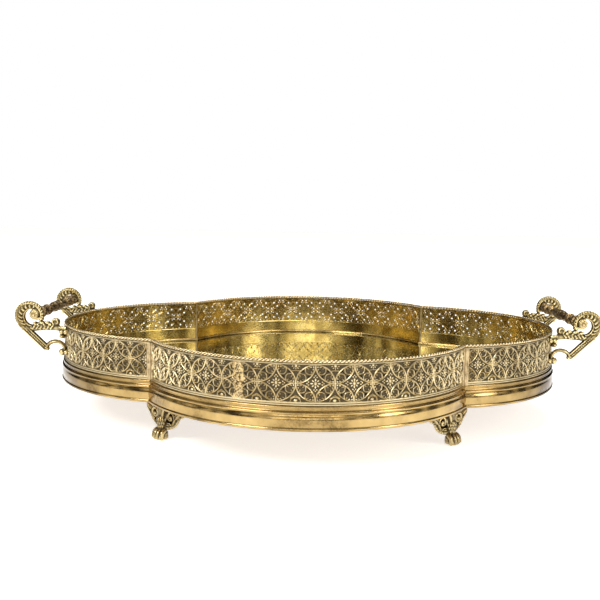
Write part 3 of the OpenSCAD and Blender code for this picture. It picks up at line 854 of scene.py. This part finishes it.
class Casting:
    """Gathers rods, beads and leaves that are cast as one, in mm."""

    def __init__(self):
        self.work = bmesh.new()

    def ball(self, centre, size, turn=None, detail=2):
        """An oval lump: size is its three half axes."""
        place = Matrix.Translation(centre)
        spin = (turn or Euler((0, 0, 0))).to_matrix().to_4x4()
        shape = place @ spin @ Matrix.Diagonal((*size, 1.0))
        bmesh.ops.create_icosphere(self.work, subdivisions=detail, radius=1.0, matrix=shape)

    def rod(self, path, radii, flat=1.0, across=Vector((0, 1, 0)), sides=10):
        """A rod along a path. flat is its size along across, as a share of its radius."""
        rings = []
        for i, p in enumerate(path):
            way = (path[min(i + 1, len(path) - 1)] - path[max(i - 1, 0)]).normalized()
            beside = way.cross(across).normalized()
            up = beside.cross(way)
            r = radii[i] if isinstance(radii, (list, tuple)) else radii
            rings.append([self.work.verts.new(
                p + r * (cos(2 * pi * j / sides) * beside + flat * sin(2 * pi * j / sides) * up))
                for j in range(sides)])
        for a, b in zip(rings, rings[1:]):
            for j in range(sides):
                self.work.faces.new((a[j], a[(j + 1) % sides], b[(j + 1) % sides], b[j]))
        self.work.faces.new(rings[0])
        self.work.faces.new(rings[-1])

    def cast(self, name, voxel, soften=1):
        """Runs the parts together into one skin."""
        bmesh.ops.recalc_face_normals(self.work, faces=self.work.faces[:])
        mesh = bpy.data.meshes.new(name)
        self.work.to_mesh(mesh)
        self.work.free()
        holder = bpy.data.objects.new(name, mesh)
        bpy.context.scene.collection.objects.link(holder)
        fuse = holder.modifiers.new("fuse", "REMESH")
        fuse.mode, fuse.voxel_size, fuse.use_smooth_shade = "VOXEL", voxel, True
        ease = holder.modifiers.new("ease", "SMOOTH")
        ease.factor, ease.iterations = 0.5, soften
        ready = bpy.context.evaluated_depsgraph_get()
        skin = bpy.data.meshes.new_from_object(holder.evaluated_get(ready), depsgraph=ready)
        bpy.data.objects.remove(holder)
        return skin


def hollows(mesh, passes, gain):
    """Compares each point with its smoothed surroundings: proud is near 1, sunk near 0."""
    count = len(mesh.vertices)
    spots = np.empty(count * 3)
    mesh.vertices.foreach_get("co", spots)
    spots = spots.reshape(-1, 3)
    ends = np.empty(len(mesh.edges) * 2, dtype=np.int32)
    mesh.edges.foreach_get("vertices", ends)
    a, b = ends[0::2], ends[1::2]
    near = np.maximum(np.bincount(a, minlength=count) + np.bincount(b, minlength=count), 1)
    soft = spots.copy()
    for _ in range(passes):
        total = np.stack([np.bincount(a, soft[b, k], count) + np.bincount(b, soft[a, k], count)
                          for k in range(3)], axis=1)
        soft = 0.5 * soft + 0.5 * total / near[:, None]
    normals = np.empty(count * 3)
    mesh.vertices.foreach_get("normal", normals)
    proud = ((spots - soft) * normals.reshape(-1, 3)).sum(axis=1)
    return (0.5 + proud * gain).clip(0.0, 1.0)


def side_view(u, z, y=0.0):
    """A point of the bracket in its own frame: u outwards from the wall, z up."""
    return Vector((u, y, z))


def smooth_path(knots, count=8):
    """A smooth curve through the given points."""
    line = []
    for i in range(len(knots) - 1):
        p0, p1 = knots[max(i - 1, 0)], knots[i]
        p2, p3 = knots[i + 1], knots[min(i + 2, len(knots) - 1)]
        for k in range(count):
            t = k / count
            line.append(0.5 * (2 * p1 + (p2 - p0) * t + (2 * p0 - 5 * p1 + 4 * p2 - p3) * t * t
                               + (3 * p1 - p0 - 3 * p2 + p3) * t ** 3))
    return line + [knots[-1]]


def steady(values, length):
    """Spreads a few sizes evenly along a path of that many points."""
    out = []
    for i in range(length):
        t = i / (length - 1) * (len(values) - 1)
        k = min(int(t), len(values) - 2)
        out.append(values[k] + (values[k + 1] - values[k]) * (t - k))
    return out


bracket_low, bracket_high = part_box("bracket_right_back")
bracket_y = (bracket_high[1] + bracket_low[1]) / 2
VOLUTE_R = 10.3
VOLUTE_OUT = 26.0
FINE_VOXEL = 0.33
wall_x = bracket_high[0] - (VOLUTE_OUT + VOLUTE_R) * MM
volute_z = bracket_high[2] / MM - VOLUTE_R
volute_c = side_view(VOLUTE_OUT, volute_z)
bud_c = side_view(21.6, volute_z + 1.1)

scroll = Casting()
# outer band of the volute: it lies between two circles, so it is thick at its outer side
eye_c, eye_r = volute_c + side_view(-2.4, -0.9), 5.6
band, girth = [], []
for step in range(57):
    way = side_view(cos(radians(-100 + 318 * step / 56)), sin(radians(-100 + 318 * step / 56)))
    outside, inside = volute_c + way * (VOLUTE_R - 0.25), eye_c + way * eye_r
    band.append((outside + inside) / 2)
    girth.append((outside - inside).length / 2)
scroll.rod(band, girth, flat=0.70, sides=16)
# the band's tail curls into a bud at its inner side
curl = smooth_path([volute_c + side_view(-9.0, -2.4), bud_c + side_view(-3.1, -2.6),
                    bud_c + side_view(-0.3, -3.0), bud_c + side_view(2.4, -1.9),
                    bud_c + side_view(3.0, 0.8), bud_c + side_view(1.0, 2.7),
                    bud_c + side_view(-1.6, 1.9), bud_c + side_view(-2.0, -0.4),
                    bud_c + side_view(-0.2, -1.2)], 5)
for face in (-1, 1):
    scroll.rod([p + Vector((0, face * 1.5, 0)) for p in curl],
               steady([1.1, 1.0, 0.95, 0.85, 0.7, 0.55], len(curl)), sides=8)
scroll.ball(bud_c, (4.0, 1.9, 4.1), detail=3)
scroll.ball(bud_c + side_view(-3.4, -0.6), (2.3, 2.0, 4.2))
# pearls round the outside of the volute, and the smooth ring inside them
for face in (-1, 1):
    ring = []
    for step in range(60):
        turn = radians(-66 + 300 * step / 59)
        ring.append(volute_c + side_view(8.5 * cos(turn), 8.5 * sin(turn), face * 1.75))
    scroll.rod(ring, 0.52, sides=8)
    for step in range(26):
        turn = radians(-62 + 292 * step / 25)
        scroll.ball(volute_c + side_view(9.45 * cos(turn), 9.45 * sin(turn), face * 1.0),
                    (0.95, 1.15, 0.95), detail=1)
    # chased leaf strokes in the channel
    for step in range(8):
        turn = radians(-48 + 150 * step / 7)
        root = eye_c + side_view(6.9 * cos(turn), 6.9 * sin(turn), face * 2.1)
        tip = volute_c + side_view(7.9 * cos(turn + 0.30), 7.9 * sin(turn + 0.30), face * 2.0)
        mid = (root + tip) / 2 + side_view(0.5 * cos(turn - 0.8), 0.5 * sin(turn - 0.8), face * 0.3)
        scroll.rod([root, mid, tip], [0.75, 0.62, 0.35], sides=6)
    inner = [eye_c + side_view(6.2 * cos(radians(a)), 6.2 * sin(radians(a)), face * 1.35)
             for a in range(-80, 130, 9)]
    scroll.rod(inner, 0.6, sides=6)

# leafy arm from the volute to the rim
arm = smooth_path([side_view(31.5, volute_z - 8.2), side_view(25.5, volute_z - 8.9),
                   side_view(19.0, volute_z - 7.8), side_view(12.5, volute_z - 7.3),
                   side_view(6.0, volute_z - 8.5), side_view(0.6, volute_z - 9.6)], 5)
scroll.rod(arm, steady([2.6, 2.3, 2.9, 3.0, 2.0, 1.7], len(arm)), flat=0.85, sides=12)
for face in (-1, 1):
    for step, (u, z, size) in enumerate((
            (21.5, -5.6, 1.5), (19.3, -6.7, 1.35), (17.2, -4.9, 1.5), (15.2, -6.3, 1.3), (13.4, -4.6, 1.4),
            (11.4, -6.0, 1.2), (18.4, -8.9, 1.1), (14.6, -8.8, 1.1), (10.6, -8.4, 1.0), (24.0, -8.6, 1.1))):
        lean = Euler((0, radians(-35 + 12 * (step % 3)), 0))
        scroll.ball(side_view(u, volute_z + z, face * 1.5), (size * 1.25, 1.3, size * 0.72), lean)
    for step in range(6):
        u = 23.5 - 2.5 * step
        vein = [side_view(u, volute_z - 9.3, face * 1.9), side_view(u - 1.2, volute_z - 7.6, face * 2.3),
                side_view(u - 2.8, volute_z - 5.6, face * 1.7)]
        scroll.rod(vein, [0.55, 0.6, 0.3], sides=6)
    scroll.ball(side_view(7.6, volute_z - 4.0, face * 0.9), (2.9, 1.4, 2.7))
    curl_leaf = [side_view(7.6 + 1.9 * cos(radians(a)), volute_z - 4.0 + 1.8 * sin(radians(a)), face * 2.1)
                 for a in range(-60, 230, 24)]
    scroll.rod(curl_leaf, 0.5, sides=6)
    for lift in (-1.2, 0.0, 1.2):
        scroll.rod([side_view(5.0, volute_z - 9.4 + lift, face * 1.3),
                    side_view(2.6, volute_z - 9.2 + lift * 0.8, face * 1.5),
                    side_view(0.6, volute_z - 9.6 + lift * 0.4, face * 1.2)], 0.5, sides=6)
scroll.ball(side_view(7.4, volute_z - 4.2), (3.1, 1.9, 3.1))

# fluted strut, a straight bar with three ridges, down to its pointed corner
head, corner = side_view(32.2, volute_z - 5.7), side_view(14.4, volute_z - 22.8)
fall = (corner - head).normalized()
beside = Vector((-fall.z, 0, fall.x))
bar = [head + (corner - head) * k / 10 for k in range(11)]
scroll.rod(bar, steady([1.8, 1.95, 1.95, 1.8], 11), flat=0.95, sides=12)
for face in (-1, 1):
    for offset in (-1.55, 1.55):
        ridge = [p + beside * offset + Vector((0, face * 1.6, 0)) for p in bar]
        scroll.rod(ridge, 0.50, sides=6)
    for step in range(17):
        pearl = head + (corner - head) * (step + 0.5) / 17
        scroll.ball(pearl + Vector((0, face * 1.9, 0)), (0.52, 0.50, 0.52), detail=1)
scroll.ball(corner + side_view(-0.3, -0.3), (1.8, 1.8, 1.8))

# arch from the corner back to the wall, its curl, and the scroll that hangs at the rim
arch = smooth_path([corner + side_view(0, 0.2), side_view(13.2, volute_z - 20.2),
                    side_view(10.8, volute_z - 18.6), side_view(7.6, volute_z - 18.0),
                    side_view(4.4, volute_z - 18.9), side_view(2.0, volute_z - 21.6),
                    side_view(1.6, volute_z - 24.6)], 5)
scroll.rod(arch, steady([1.3, 1.45, 1.4, 1.35, 1.5], len(arch)), flat=1.25, sides=12)
for face in (-1, 1):
    scroll.rod([p + Vector((0, face * 1.6, 0)) for p in arch], 0.45, sides=6)
    coil = [side_view(3.1 + 1.5 * cos(radians(a)), volute_z - 25.6 + 1.5 * sin(radians(a)), face * 1.4)
            for a in range(0, 300, 28)]
    scroll.rod(coil, 0.45, sides=6)
scroll.ball(side_view(3.4, volute_z - 25.5, 0.4), (2.5, 2.9, 2.5))
hanger = smooth_path([side_view(2.4, volute_z - 9.6), side_view(3.3, volute_z - 11.6),
                      side_view(2.4, volute_z - 13.6), side_view(1.4, volute_z - 15.4)], 5)
scroll.rod(hanger, steady([1.7, 1.5, 1.3, 1.0], len(hanger)), flat=1.2, sides=10)
for z in (-11.3, -14.2):
    scroll.ball(side_view(3.3, volute_z + z, 0.4), (2.0, 2.9, 1.6 if z < -12 else 2.0))
# seating pads that lie against the gallery, where the screws come through
for z in (-11.3, -25.5):
    scroll.ball(side_view(0.6, volute_z + z), (2.2, 2.9, 2.2))

skin = scroll.cast("bracket_casting", FINE_VOXEL)
# cavity map lowered by 0.20: the bracket's recesses take dirt and painted shade
bracket_dirt_and_shade = hollows(skin, 30, 1.6) - 0.20
pale = metal("pale_gilt", rgb(0.86, 0.72, 0.38), rgb(0.48, 0.36, 0.15),
             rgb(0.04, 0.027, 0.012), 0.21, relief=1.0, grain=0.05)


def mirrored(mesh, name, place, mirror_x, mirror_y, level, material):
    """A copy of a casting, moved by place and turned over for its side of the tray."""
    copy = mesh.copy()
    copy.transform(place)
    if mirror_x or mirror_y:
        copy.transform(Matrix.Diagonal((-1 if mirror_x else 1, -1 if mirror_y else 1, 1, 1)))
    if mirror_x != mirror_y:
        copy.flip_normals()
    shade_relief(copy, level)
    copy.materials.clear()
    copy.materials.append(material)
    copy.polygons.foreach_set("use_smooth", [True] * len(copy.polygons))
    piece = bpy.data.objects.new(name, copy)
    bpy.context.scene.collection.objects.link(piece)
    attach(piece, "root")
    return piece


stand_off = Matrix.Translation((wall_x, bracket_y, 0)) @ Matrix.Scale(MM, 4)
for end in ("left", "right"):
    for face in ("front", "back"):
        name = "bracket_" + end + "_" + face
        piece = mirrored(skin, name + "_casting", stand_off, end == "left", face == "front",
                         bracket_dirt_and_shade, pale)
        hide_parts(name)
dress("bracket_screws", bright)


# ---- Grips -----------------------------------------------------------------------------
# Each grip is a cast bar with chased leaves and turned rings, coloured dark brown: partly
# the bar's own brown and partly painted shade. A steel rod runs through it from bracket to
# bracket, and a domed nut with a chased spiral closes each end.

AROUND, ALONG = 48, 300
ROD_BORE = 1.6 * MM
nut_low, nut_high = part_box("rod_nuts")
grip_brass = metal("grip_browned", rgb(0.62, 0.45, 0.22), rgb(0.22, 0.14, 0.07),
                   rgb(0.020, 0.013, 0.007), 0.22, relief=0.75, grain=0.08)
for end in ("left", "right"):
    name = "grip_" + end
    low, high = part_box(name)
    axis_x, axis_z = (low[0] + high[0]) / 2, (low[2] + high[2]) / 2
    grip_r, grip_half = (high[2] - low[2]) / 2, (high[1] - low[1]) / 2
    knots = [(0.0, 0.94), (0.10, 0.90), (0.28, 0.72), (0.43, 0.54), (0.47, 0.80), (0.50, 0.97),
             (0.53, 0.80), (0.56, 0.52), (0.66, 0.72), (0.72, 0.54), (0.75, 0.90), (0.78, 1.0),
             (0.81, 0.90), (0.84, 0.54), (0.92, 0.80), (1.0, 0.88)]
    points, faces, level = [], [], []
    for i in range(ALONG + 1):
        along = 2 * i / ALONG - 1
        reach = abs(along)
        k = max(j for j, (place, size) in enumerate(knots[:-1]) if place <= reach)
        (a, ra), (b, rb) = knots[k], knots[k + 1]
        mix = (1 - cos(pi * (reach - a) / (b - a))) / 2
        size = ra + (rb - ra) * mix
        ring = 0.45 < reach < 0.55 or 0.73 < reach < 0.83
        for j in range(AROUND):
            turn = 2 * pi * j / AROUND
            if ring:
                carve = 0.05 * cos(turn * 12)
            else:
                leaf = cos(4 * turn + 2.4 * sin(reach * 34)) * cos(reach * 34)
                fine = noise.noise(Vector((cos(turn) * 2.2, sin(turn) * 2.2, along * 26)))
                carve = 0.10 * leaf + 0.13 * fine - 0.06
            r = grip_r * min(1.0, size * (1 + carve))
            points.append(Vector((axis_x + r * cos(turn), along * grip_half, axis_z + r * sin(turn))))
            # grooves take a low relief: dirt and painted shade
            level.append(0.5 + 3.2 * carve)
    for along in (-1, 1):
        for j in range(AROUND):
            turn = 2 * pi * j / AROUND
            points.append(Vector((axis_x + ROD_BORE * cos(turn), along * grip_half,
                                  axis_z + ROD_BORE * sin(turn))))
            level.append(0.3)
    rows = ALONG + 1
    for i in range(ALONG):
        for j in range(AROUND):
            a, b = i * AROUND, (i + 1) * AROUND
            faces.append((a + j, a + (j + 1) % AROUND, b + (j + 1) % AROUND, b + j))
    near, farther = rows * AROUND, (rows + 1) * AROUND
    for j in range(AROUND):
        k = (j + 1) % AROUND
        faces.append((j, near + j, near + k, k))
        faces.append((ALONG * AROUND + j, ALONG * AROUND + k, farther + k, farther + j))
        faces.append((near + j, farther + j, farther + k, near + k))
    grip = make_piece(name + "_cast", points, faces, grip_brass, relief=level)
    crease(grip, 60)
    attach(grip, "root")
    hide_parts(name)
    dress("tie_rod_" + end, browned)

nut_half = (nut_high[2] - nut_low[2]) / 2 / MM
nut_t = 2.4
boss = Casting()
boss.ball(Vector((0, 0.2, 0)), (nut_half * 0.90, 1.5, nut_half * 0.90), detail=3)
spiral = [Vector(((2.7 - 0.27 * k) * cos(k * 0.72), 0.75 + 0.13 * k, (2.7 - 0.27 * k) * sin(k * 0.72)))
          for k in range(10)]
boss.rod(smooth_path(spiral, 4), 0.42, sides=6)
boss.ball(Vector((0, 1.7, 0)), (0.7, 0.6, 0.7), detail=1)
cap = boss.cast("nut_casting", 0.22)
caps = []
for sx in (-1, 1):
    for sy in (-1, 1):
        copy = cap.copy()
        copy.transform(Matrix.Translation((nut_high[0] - nut_half * MM, nut_high[1] - nut_t * MM, axis_z))
                       @ Matrix.Scale(MM, 4))
        copy.transform(Matrix.Diagonal((sx, sy, 1, 1)))
        caps.append(copy)
nuts = weld("rod_nut_domes", caps, pale)
# the domes' hollows take dirt and painted shade
shade_relief(nuts.data, hollows(nuts.data, 18, 1.3 / MM))
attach(nuts, "root")
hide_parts("rod_nuts")


# ---- Feet ------------------------------------------------------------------------------
# Four feet are cast from one pattern: an acanthus leaf spread behind a furred shank that
# stands on a lion's paw. A flange behind the leaf is bolted up to the base plate.

foot = Casting()
foot_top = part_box("foot_back_right")[1][2] / MM
LEAF_X = -11.4


def fan(x, y, z):
    """A point of the foot: x outwards along the diagonal, y across it, z up."""
    return Vector((x, y, z))


# flange, and the web that ties the leaf to it
foot.rod([fan(-27, 0, foot_top - 0.75), fan(-9.5, 0, foot_top - 0.75)], 9.0, flat=0.083, sides=24)
foot.rod([fan(-14, 0, foot_top - 2.0), fan(-10.5, 0, foot_top - 8.0)], [5.5, 3.0], sides=12)
for side in (-1, 1):
    # back sheet of the leaf
    for z, reach in ((25.4, 20.0), (23.2, 19.8), (21.0, 19.0), (18.8, 17.6), (16.6, 15.6), (14.4, 14.0),
                     (12.3, 12.2), (10.4, 9.6), (8.9, 6.4)):
        foot.rod([fan(LEAF_X, 0, z), fan(LEAF_X, side * reach * 0.55, z), fan(LEAF_X + 0.3, side * reach, z)],
                 [1.9, 1.8, 1.1], across=Vector((1, 0, 0)), flat=0.62, sides=10)
    # rolled border that climbs from the ankle along the leaf's lower edge
    border = smooth_path([fan(-7.6, side * 1.8, 8.0), fan(-8.8, side * 5.6, 7.9), fan(-9.4, side * 9.2, 9.0),
                          fan(-9.6, side * 12.4, 11.2), fan(-9.8, side * 14.6, 14.4),
                          fan(-9.9, side * 17.0, 16.8), fan(-10.2, side * 20.0, 17.8)], 6)
    foot.rod(border, steady([1.5, 1.35, 1.2, 1.2, 1.1, 1.0, 0.8], len(border)), sides=10)
    for p in border[5::4]:
        foot.ball(p + fan(0.4, side * 0.5, -0.4), (1.1, 0.95, 0.85), detail=1)
    # big scroll of the leaf, with pearls in its fold
    scroll_c = fan(-8.9, side * 8.4, 15.2)
    turns = [radians(-70 + 30 * k) for k in range(17)]
    curl = [scroll_c + fan(0.06 * k, side * (4.6 - 0.23 * k) * cos(a), (4.6 - 0.23 * k) * sin(a))
            for k, a in enumerate(turns)]
    foot.rod(curl, steady([1.25, 1.15, 1.0, 0.85, 0.7], len(curl)), sides=8)
    foot.ball(scroll_c + fan(0.8, 0, 0), (1.1, 1.2, 1.2))
    for step in range(6):
        a = radians(195 + 30 * step)
        foot.ball(scroll_c + fan(-0.4, side * 6.3 * cos(a), 5.9 * sin(a)), (0.8, 0.72, 0.72), detail=1)
    # fingers of the leaf, each with a vein and a curled tip
    for root_y, root_z, mid_y, mid_z, tip_y, tip_z, size in (
            (3.0, 17.5, 4.2, 21.0, 5.4, 24.4, 1.4), (6.4, 20.4, 8.6, 22.6, 10.2, 25.0, 1.4),
            (10.4, 19.4, 13.2, 21.6, 15.4, 24.0, 1.4), (12.8, 17.0, 16.0, 19.2, 19.0, 21.2, 1.35),
            (13.0, 14.6, 15.4, 16.4, 18.4, 18.6, 1.2), (3.4, 9.4, 5.6, 10.4, 7.6, 10.2, 1.0),
            (3.0, 12.0, 4.0, 14.4, 4.2, 17.0, 1.0), (10.6, 11.4, 12.6, 13.4, 14.0, 15.4, 1.0)):
        finger = smooth_path([fan(-9.4, side * root_y, root_z), fan(-8.5, side * mid_y, mid_z),
                              fan(-9.2, side * tip_y, tip_z)], 5)
        foot.rod(finger, steady([size * 0.7, size, size * 0.6], len(finger)), sides=8)
        foot.ball(fan(-8.9, side * tip_y, tip_z), (1.1, size * 0.72, size * 0.72), detail=1)
        for lean in (-0.75, 0.75):
            vein = [p + fan(1.0, side * lean * 0.7, lean) for p in finger]
            foot.rod(vein, steady([0.3, 0.42, 0.2], len(vein)), sides=6)
# middle leaf that folds down over the shank
for step in range(-2, 3):
    tongue = smooth_path([fan(-9.2, step * 1.5, 24.8), fan(-7.4, step * 1.45, 21.2),
                          fan(-6.6, step * 1.15, 17.2), fan(-6.4, step * 0.8, 13.6)], 5)
    foot.rod(tongue, steady([0.9, 1.15, 1.0, 0.6], len(tongue)), sides=8)
foot.ball(fan(-6.2, 0, 14.0), (1.4, 2.2, 1.5))
# shank that leans outwards, with locks of fur down to the ankle
shank = smooth_path([fan(-11.2, 0, 23.6), fan(-9.8, 0, 18.2), fan(-9.0, 0, 13.0), fan(-8.4, 0, 9.0),
                     fan(-8.0, 0, 6.2)], 6)
foot.rod(shank, steady([4.6, 4.2, 3.5, 2.9, 3.2], len(shank)), sides=16)
for ring in range(3):
    for step in range(9):
        turn = radians(-100 + 200 * step / 8 + 11 * ring)
        top = fan(-8.8 + 3.3 * cos(turn), 3.2 * sin(turn), 14.6 - 2.2 * ring)
        foot.rod([top, top + fan(0.5 * cos(turn) + 0.25, 0.5 * sin(turn), -1.6),
                  top + fan(0.55 + 0.2 * cos(turn), 0.2 * sin(turn), -3.2)], [0.45, 0.72, 0.3], sides=6)
# lion's paw: pad, four toes with knuckles, and claws
PAW_X = -5.9
foot.ball(fan(PAW_X - 1.4, 0, 3.2), (4.2, 4.2, 3.2), detail=3)
foot.rod([fan(PAW_X - 1.4, 0, 0.02), fan(PAW_X - 1.4, 0, 1.9)], [4.0, 4.2], sides=20)
for step in range(4):
    spread = step - 1.5
    y = spread * 2.75
    ahead = PAW_X + 3.0 - abs(spread) * 0.9
    toe = smooth_path([fan(PAW_X - 2.0, y * 0.62, 6.2), fan(ahead - 2.2, y * 0.95, 5.9),
                       fan(ahead - 0.2, y, 4.3), fan(ahead + 0.3, y * 1.02, 1.9),
                       fan(ahead - 0.2, y, 0.2)], 4)
    foot.rod(toe, steady([1.2, 1.45, 1.55, 1.4, 1.2], len(toe)), sides=10)
    foot.ball(fan(ahead - 1.0, y * 0.97, 5.2), (1.4, 1.25, 1.1))
    claw = [fan(ahead + 1.1, y * 1.02, 3.0), fan(ahead + 1.9, y * 1.03, 2.0),
            fan(ahead + 1.8, y * 1.03, 0.8)]
    foot.rod(claw, [0.55, 0.5, 0.2], sides=6)
paw = foot.cast("foot_casting", FINE_VOXEL)
for v in paw.vertices:
    v.co.z = min(max(v.co.z, 0.0), foot_top)
# cavity map lowered by 0.14: the feet's recesses take dirt and painted shade
hollow_map = hollows(paw, 30, 1.6) - 0.14
cast_gilt = metal("foot_gilt", rgb(0.66, 0.53, 0.27), rgb(0.36, 0.27, 0.13),
                  rgb(0.035, 0.024, 0.013), 0.22, relief=1.0, grain=0.06)
cusp = lobes["right"].point(0, lobes["right"].half, 0)
outward = atan2(cusp.y, cusp.x)
seat = Matrix.Translation((cusp.x, cusp.y, 0)) @ Matrix.Rotation(outward, 4, "Z") @ Matrix.Scale(MM, 4)
for end in ("left", "right"):
    for face in ("front", "back"):
        name = "foot_" + face + "_" + end
        piece = mirrored(paw, name + "_paw", seat, end == "left", face == "front", hollow_map, cast_gilt)
        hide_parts(name)


# ---- Floor, light and camera -----------------------------------------------------------
# The tray stands on a plain white sweep under soft lights, seen from in front and a
# little above the rim.

sweep = make_piece("floor", [Vector((x, y, 0)) for x, y in ((-4, -4), (4, -4), (4, 4), (-4, 4))],
                   [(0, 1, 2, 3)], None, smooth=False)
paper = Finish("white_paper")
paper.surface({
    "Base Color": paper.mix(paper.noise(paper.place, 3.0), rgb(0.93, 0.93, 0.93), rgb(0.95, 0.95, 0.95)),
    "Roughness": 0.85, "Specular IOR Level": 0.15,
    "Emission Color": rgb(1.0, 1.0, 1.0), "Emission Strength": 0.66,
})
sweep.data.materials.clear()
sweep.data.materials.append(paper.material)

# The polished metal sees a dark room with upright bands of light and a pale ceiling; the
# camera sees plain white behind the tray.
world = bpy.data.worlds.new("studio")
bpy.context.scene.world = world
world.use_nodes = True
world.node_tree.nodes.clear()
room = Net(world.node_tree)
ray = room.node("ShaderNodeLightPath", out="Is Camera Ray")
heading = room.node("ShaderNodeTexCoord", out="Generated")
up = room.node("ShaderNodeSeparateXYZ", {}, {"Vector": heading}, out="Z")
behind = room.node("ShaderNodeSeparateXYZ", {}, {"Vector": heading}, out="Y")
upright = room.node("ShaderNodeMapping", {}, {"Vector": heading, "Scale": (1.0, 1.0, 0.22)})
columns = room.spread(room.noise(upright, 6.6, 2.0, 0.6), 0.505, 0.55)
columns = columns * (1.0 - 0.97 * room.spread(behind, 0.05, 0.40))
shade = room.mix(columns, rgb(0.020, 0.015, 0.010), rgb(1.60, 1.48, 1.22))
ceiling = room.spread(up, 0.55, 0.85)
sky = room.node("ShaderNodeBackground", {}, {
    "Color": room.mix(ceiling, shade, rgb(0.60, 0.60, 0.58)), "Strength": 0.8})
backdrop = room.node("ShaderNodeBackground", {}, {"Color": rgb(1, 1, 1), "Strength": 1.0})
room.node("ShaderNodeOutputWorld", {}, {
    "Surface": room.node("ShaderNodeMixShader", {}, {0: ray, 1: sky, 2: backdrop})})


def softbox(name, place, target, size, power, shade=(1.0, 0.98, 0.95)):
    """A rectangular lamp that faces a target."""
    lamp = bpy.data.lights.new(name, "AREA")
    lamp.shape, lamp.size, lamp.size_y = "RECTANGLE", size[0], size[1]
    lamp.energy, lamp.color = power, shade
    holder = bpy.data.objects.new(name, lamp)
    holder.location = place
    holder.rotation_euler = (Vector(target) - Vector(place)).to_track_quat("-Z", "Y").to_euler()
    holder.visible_camera = False
    bpy.context.scene.collection.objects.link(holder)


softbox("key", (-0.9, -1.0, 1.1), (0, 0, 0.05), (0.7, 0.5), 12)
softbox("fill", (1.1, -0.8, 0.7), (0, 0, 0.05), (0.4, 0.8), 5)
softbox("top", (0.1, 0.2, 1.5), (0, 0, 0), (1.0, 0.6), 10)
softbox("front", (0.0, -1.6, 0.35), (0, 0, 0.05), (1.2, 0.25), 2.5)

camera = bpy.data.cameras.new("camera")
camera.sensor_width, camera.lens = 36.0, 47.65
camera.shift_x, camera.shift_y = -0.0146, 0.0157
camera.clip_start, camera.clip_end = 0.05, 20.0
stand = bpy.data.objects.new("camera", camera)
stand.location = (0.0, -0.5973, 0.1516)
tilt = Matrix.Rotation(radians(90 - 7.39), 4, "X") @ Matrix.Rotation(0.018, 4, "Z")
stand.rotation_euler = tilt.to_euler()
bpy.context.scene.collection.objects.link(stand)
bpy.context.scene.camera = stand

bpy.context.scene.view_settings.view_transform = "Standard"
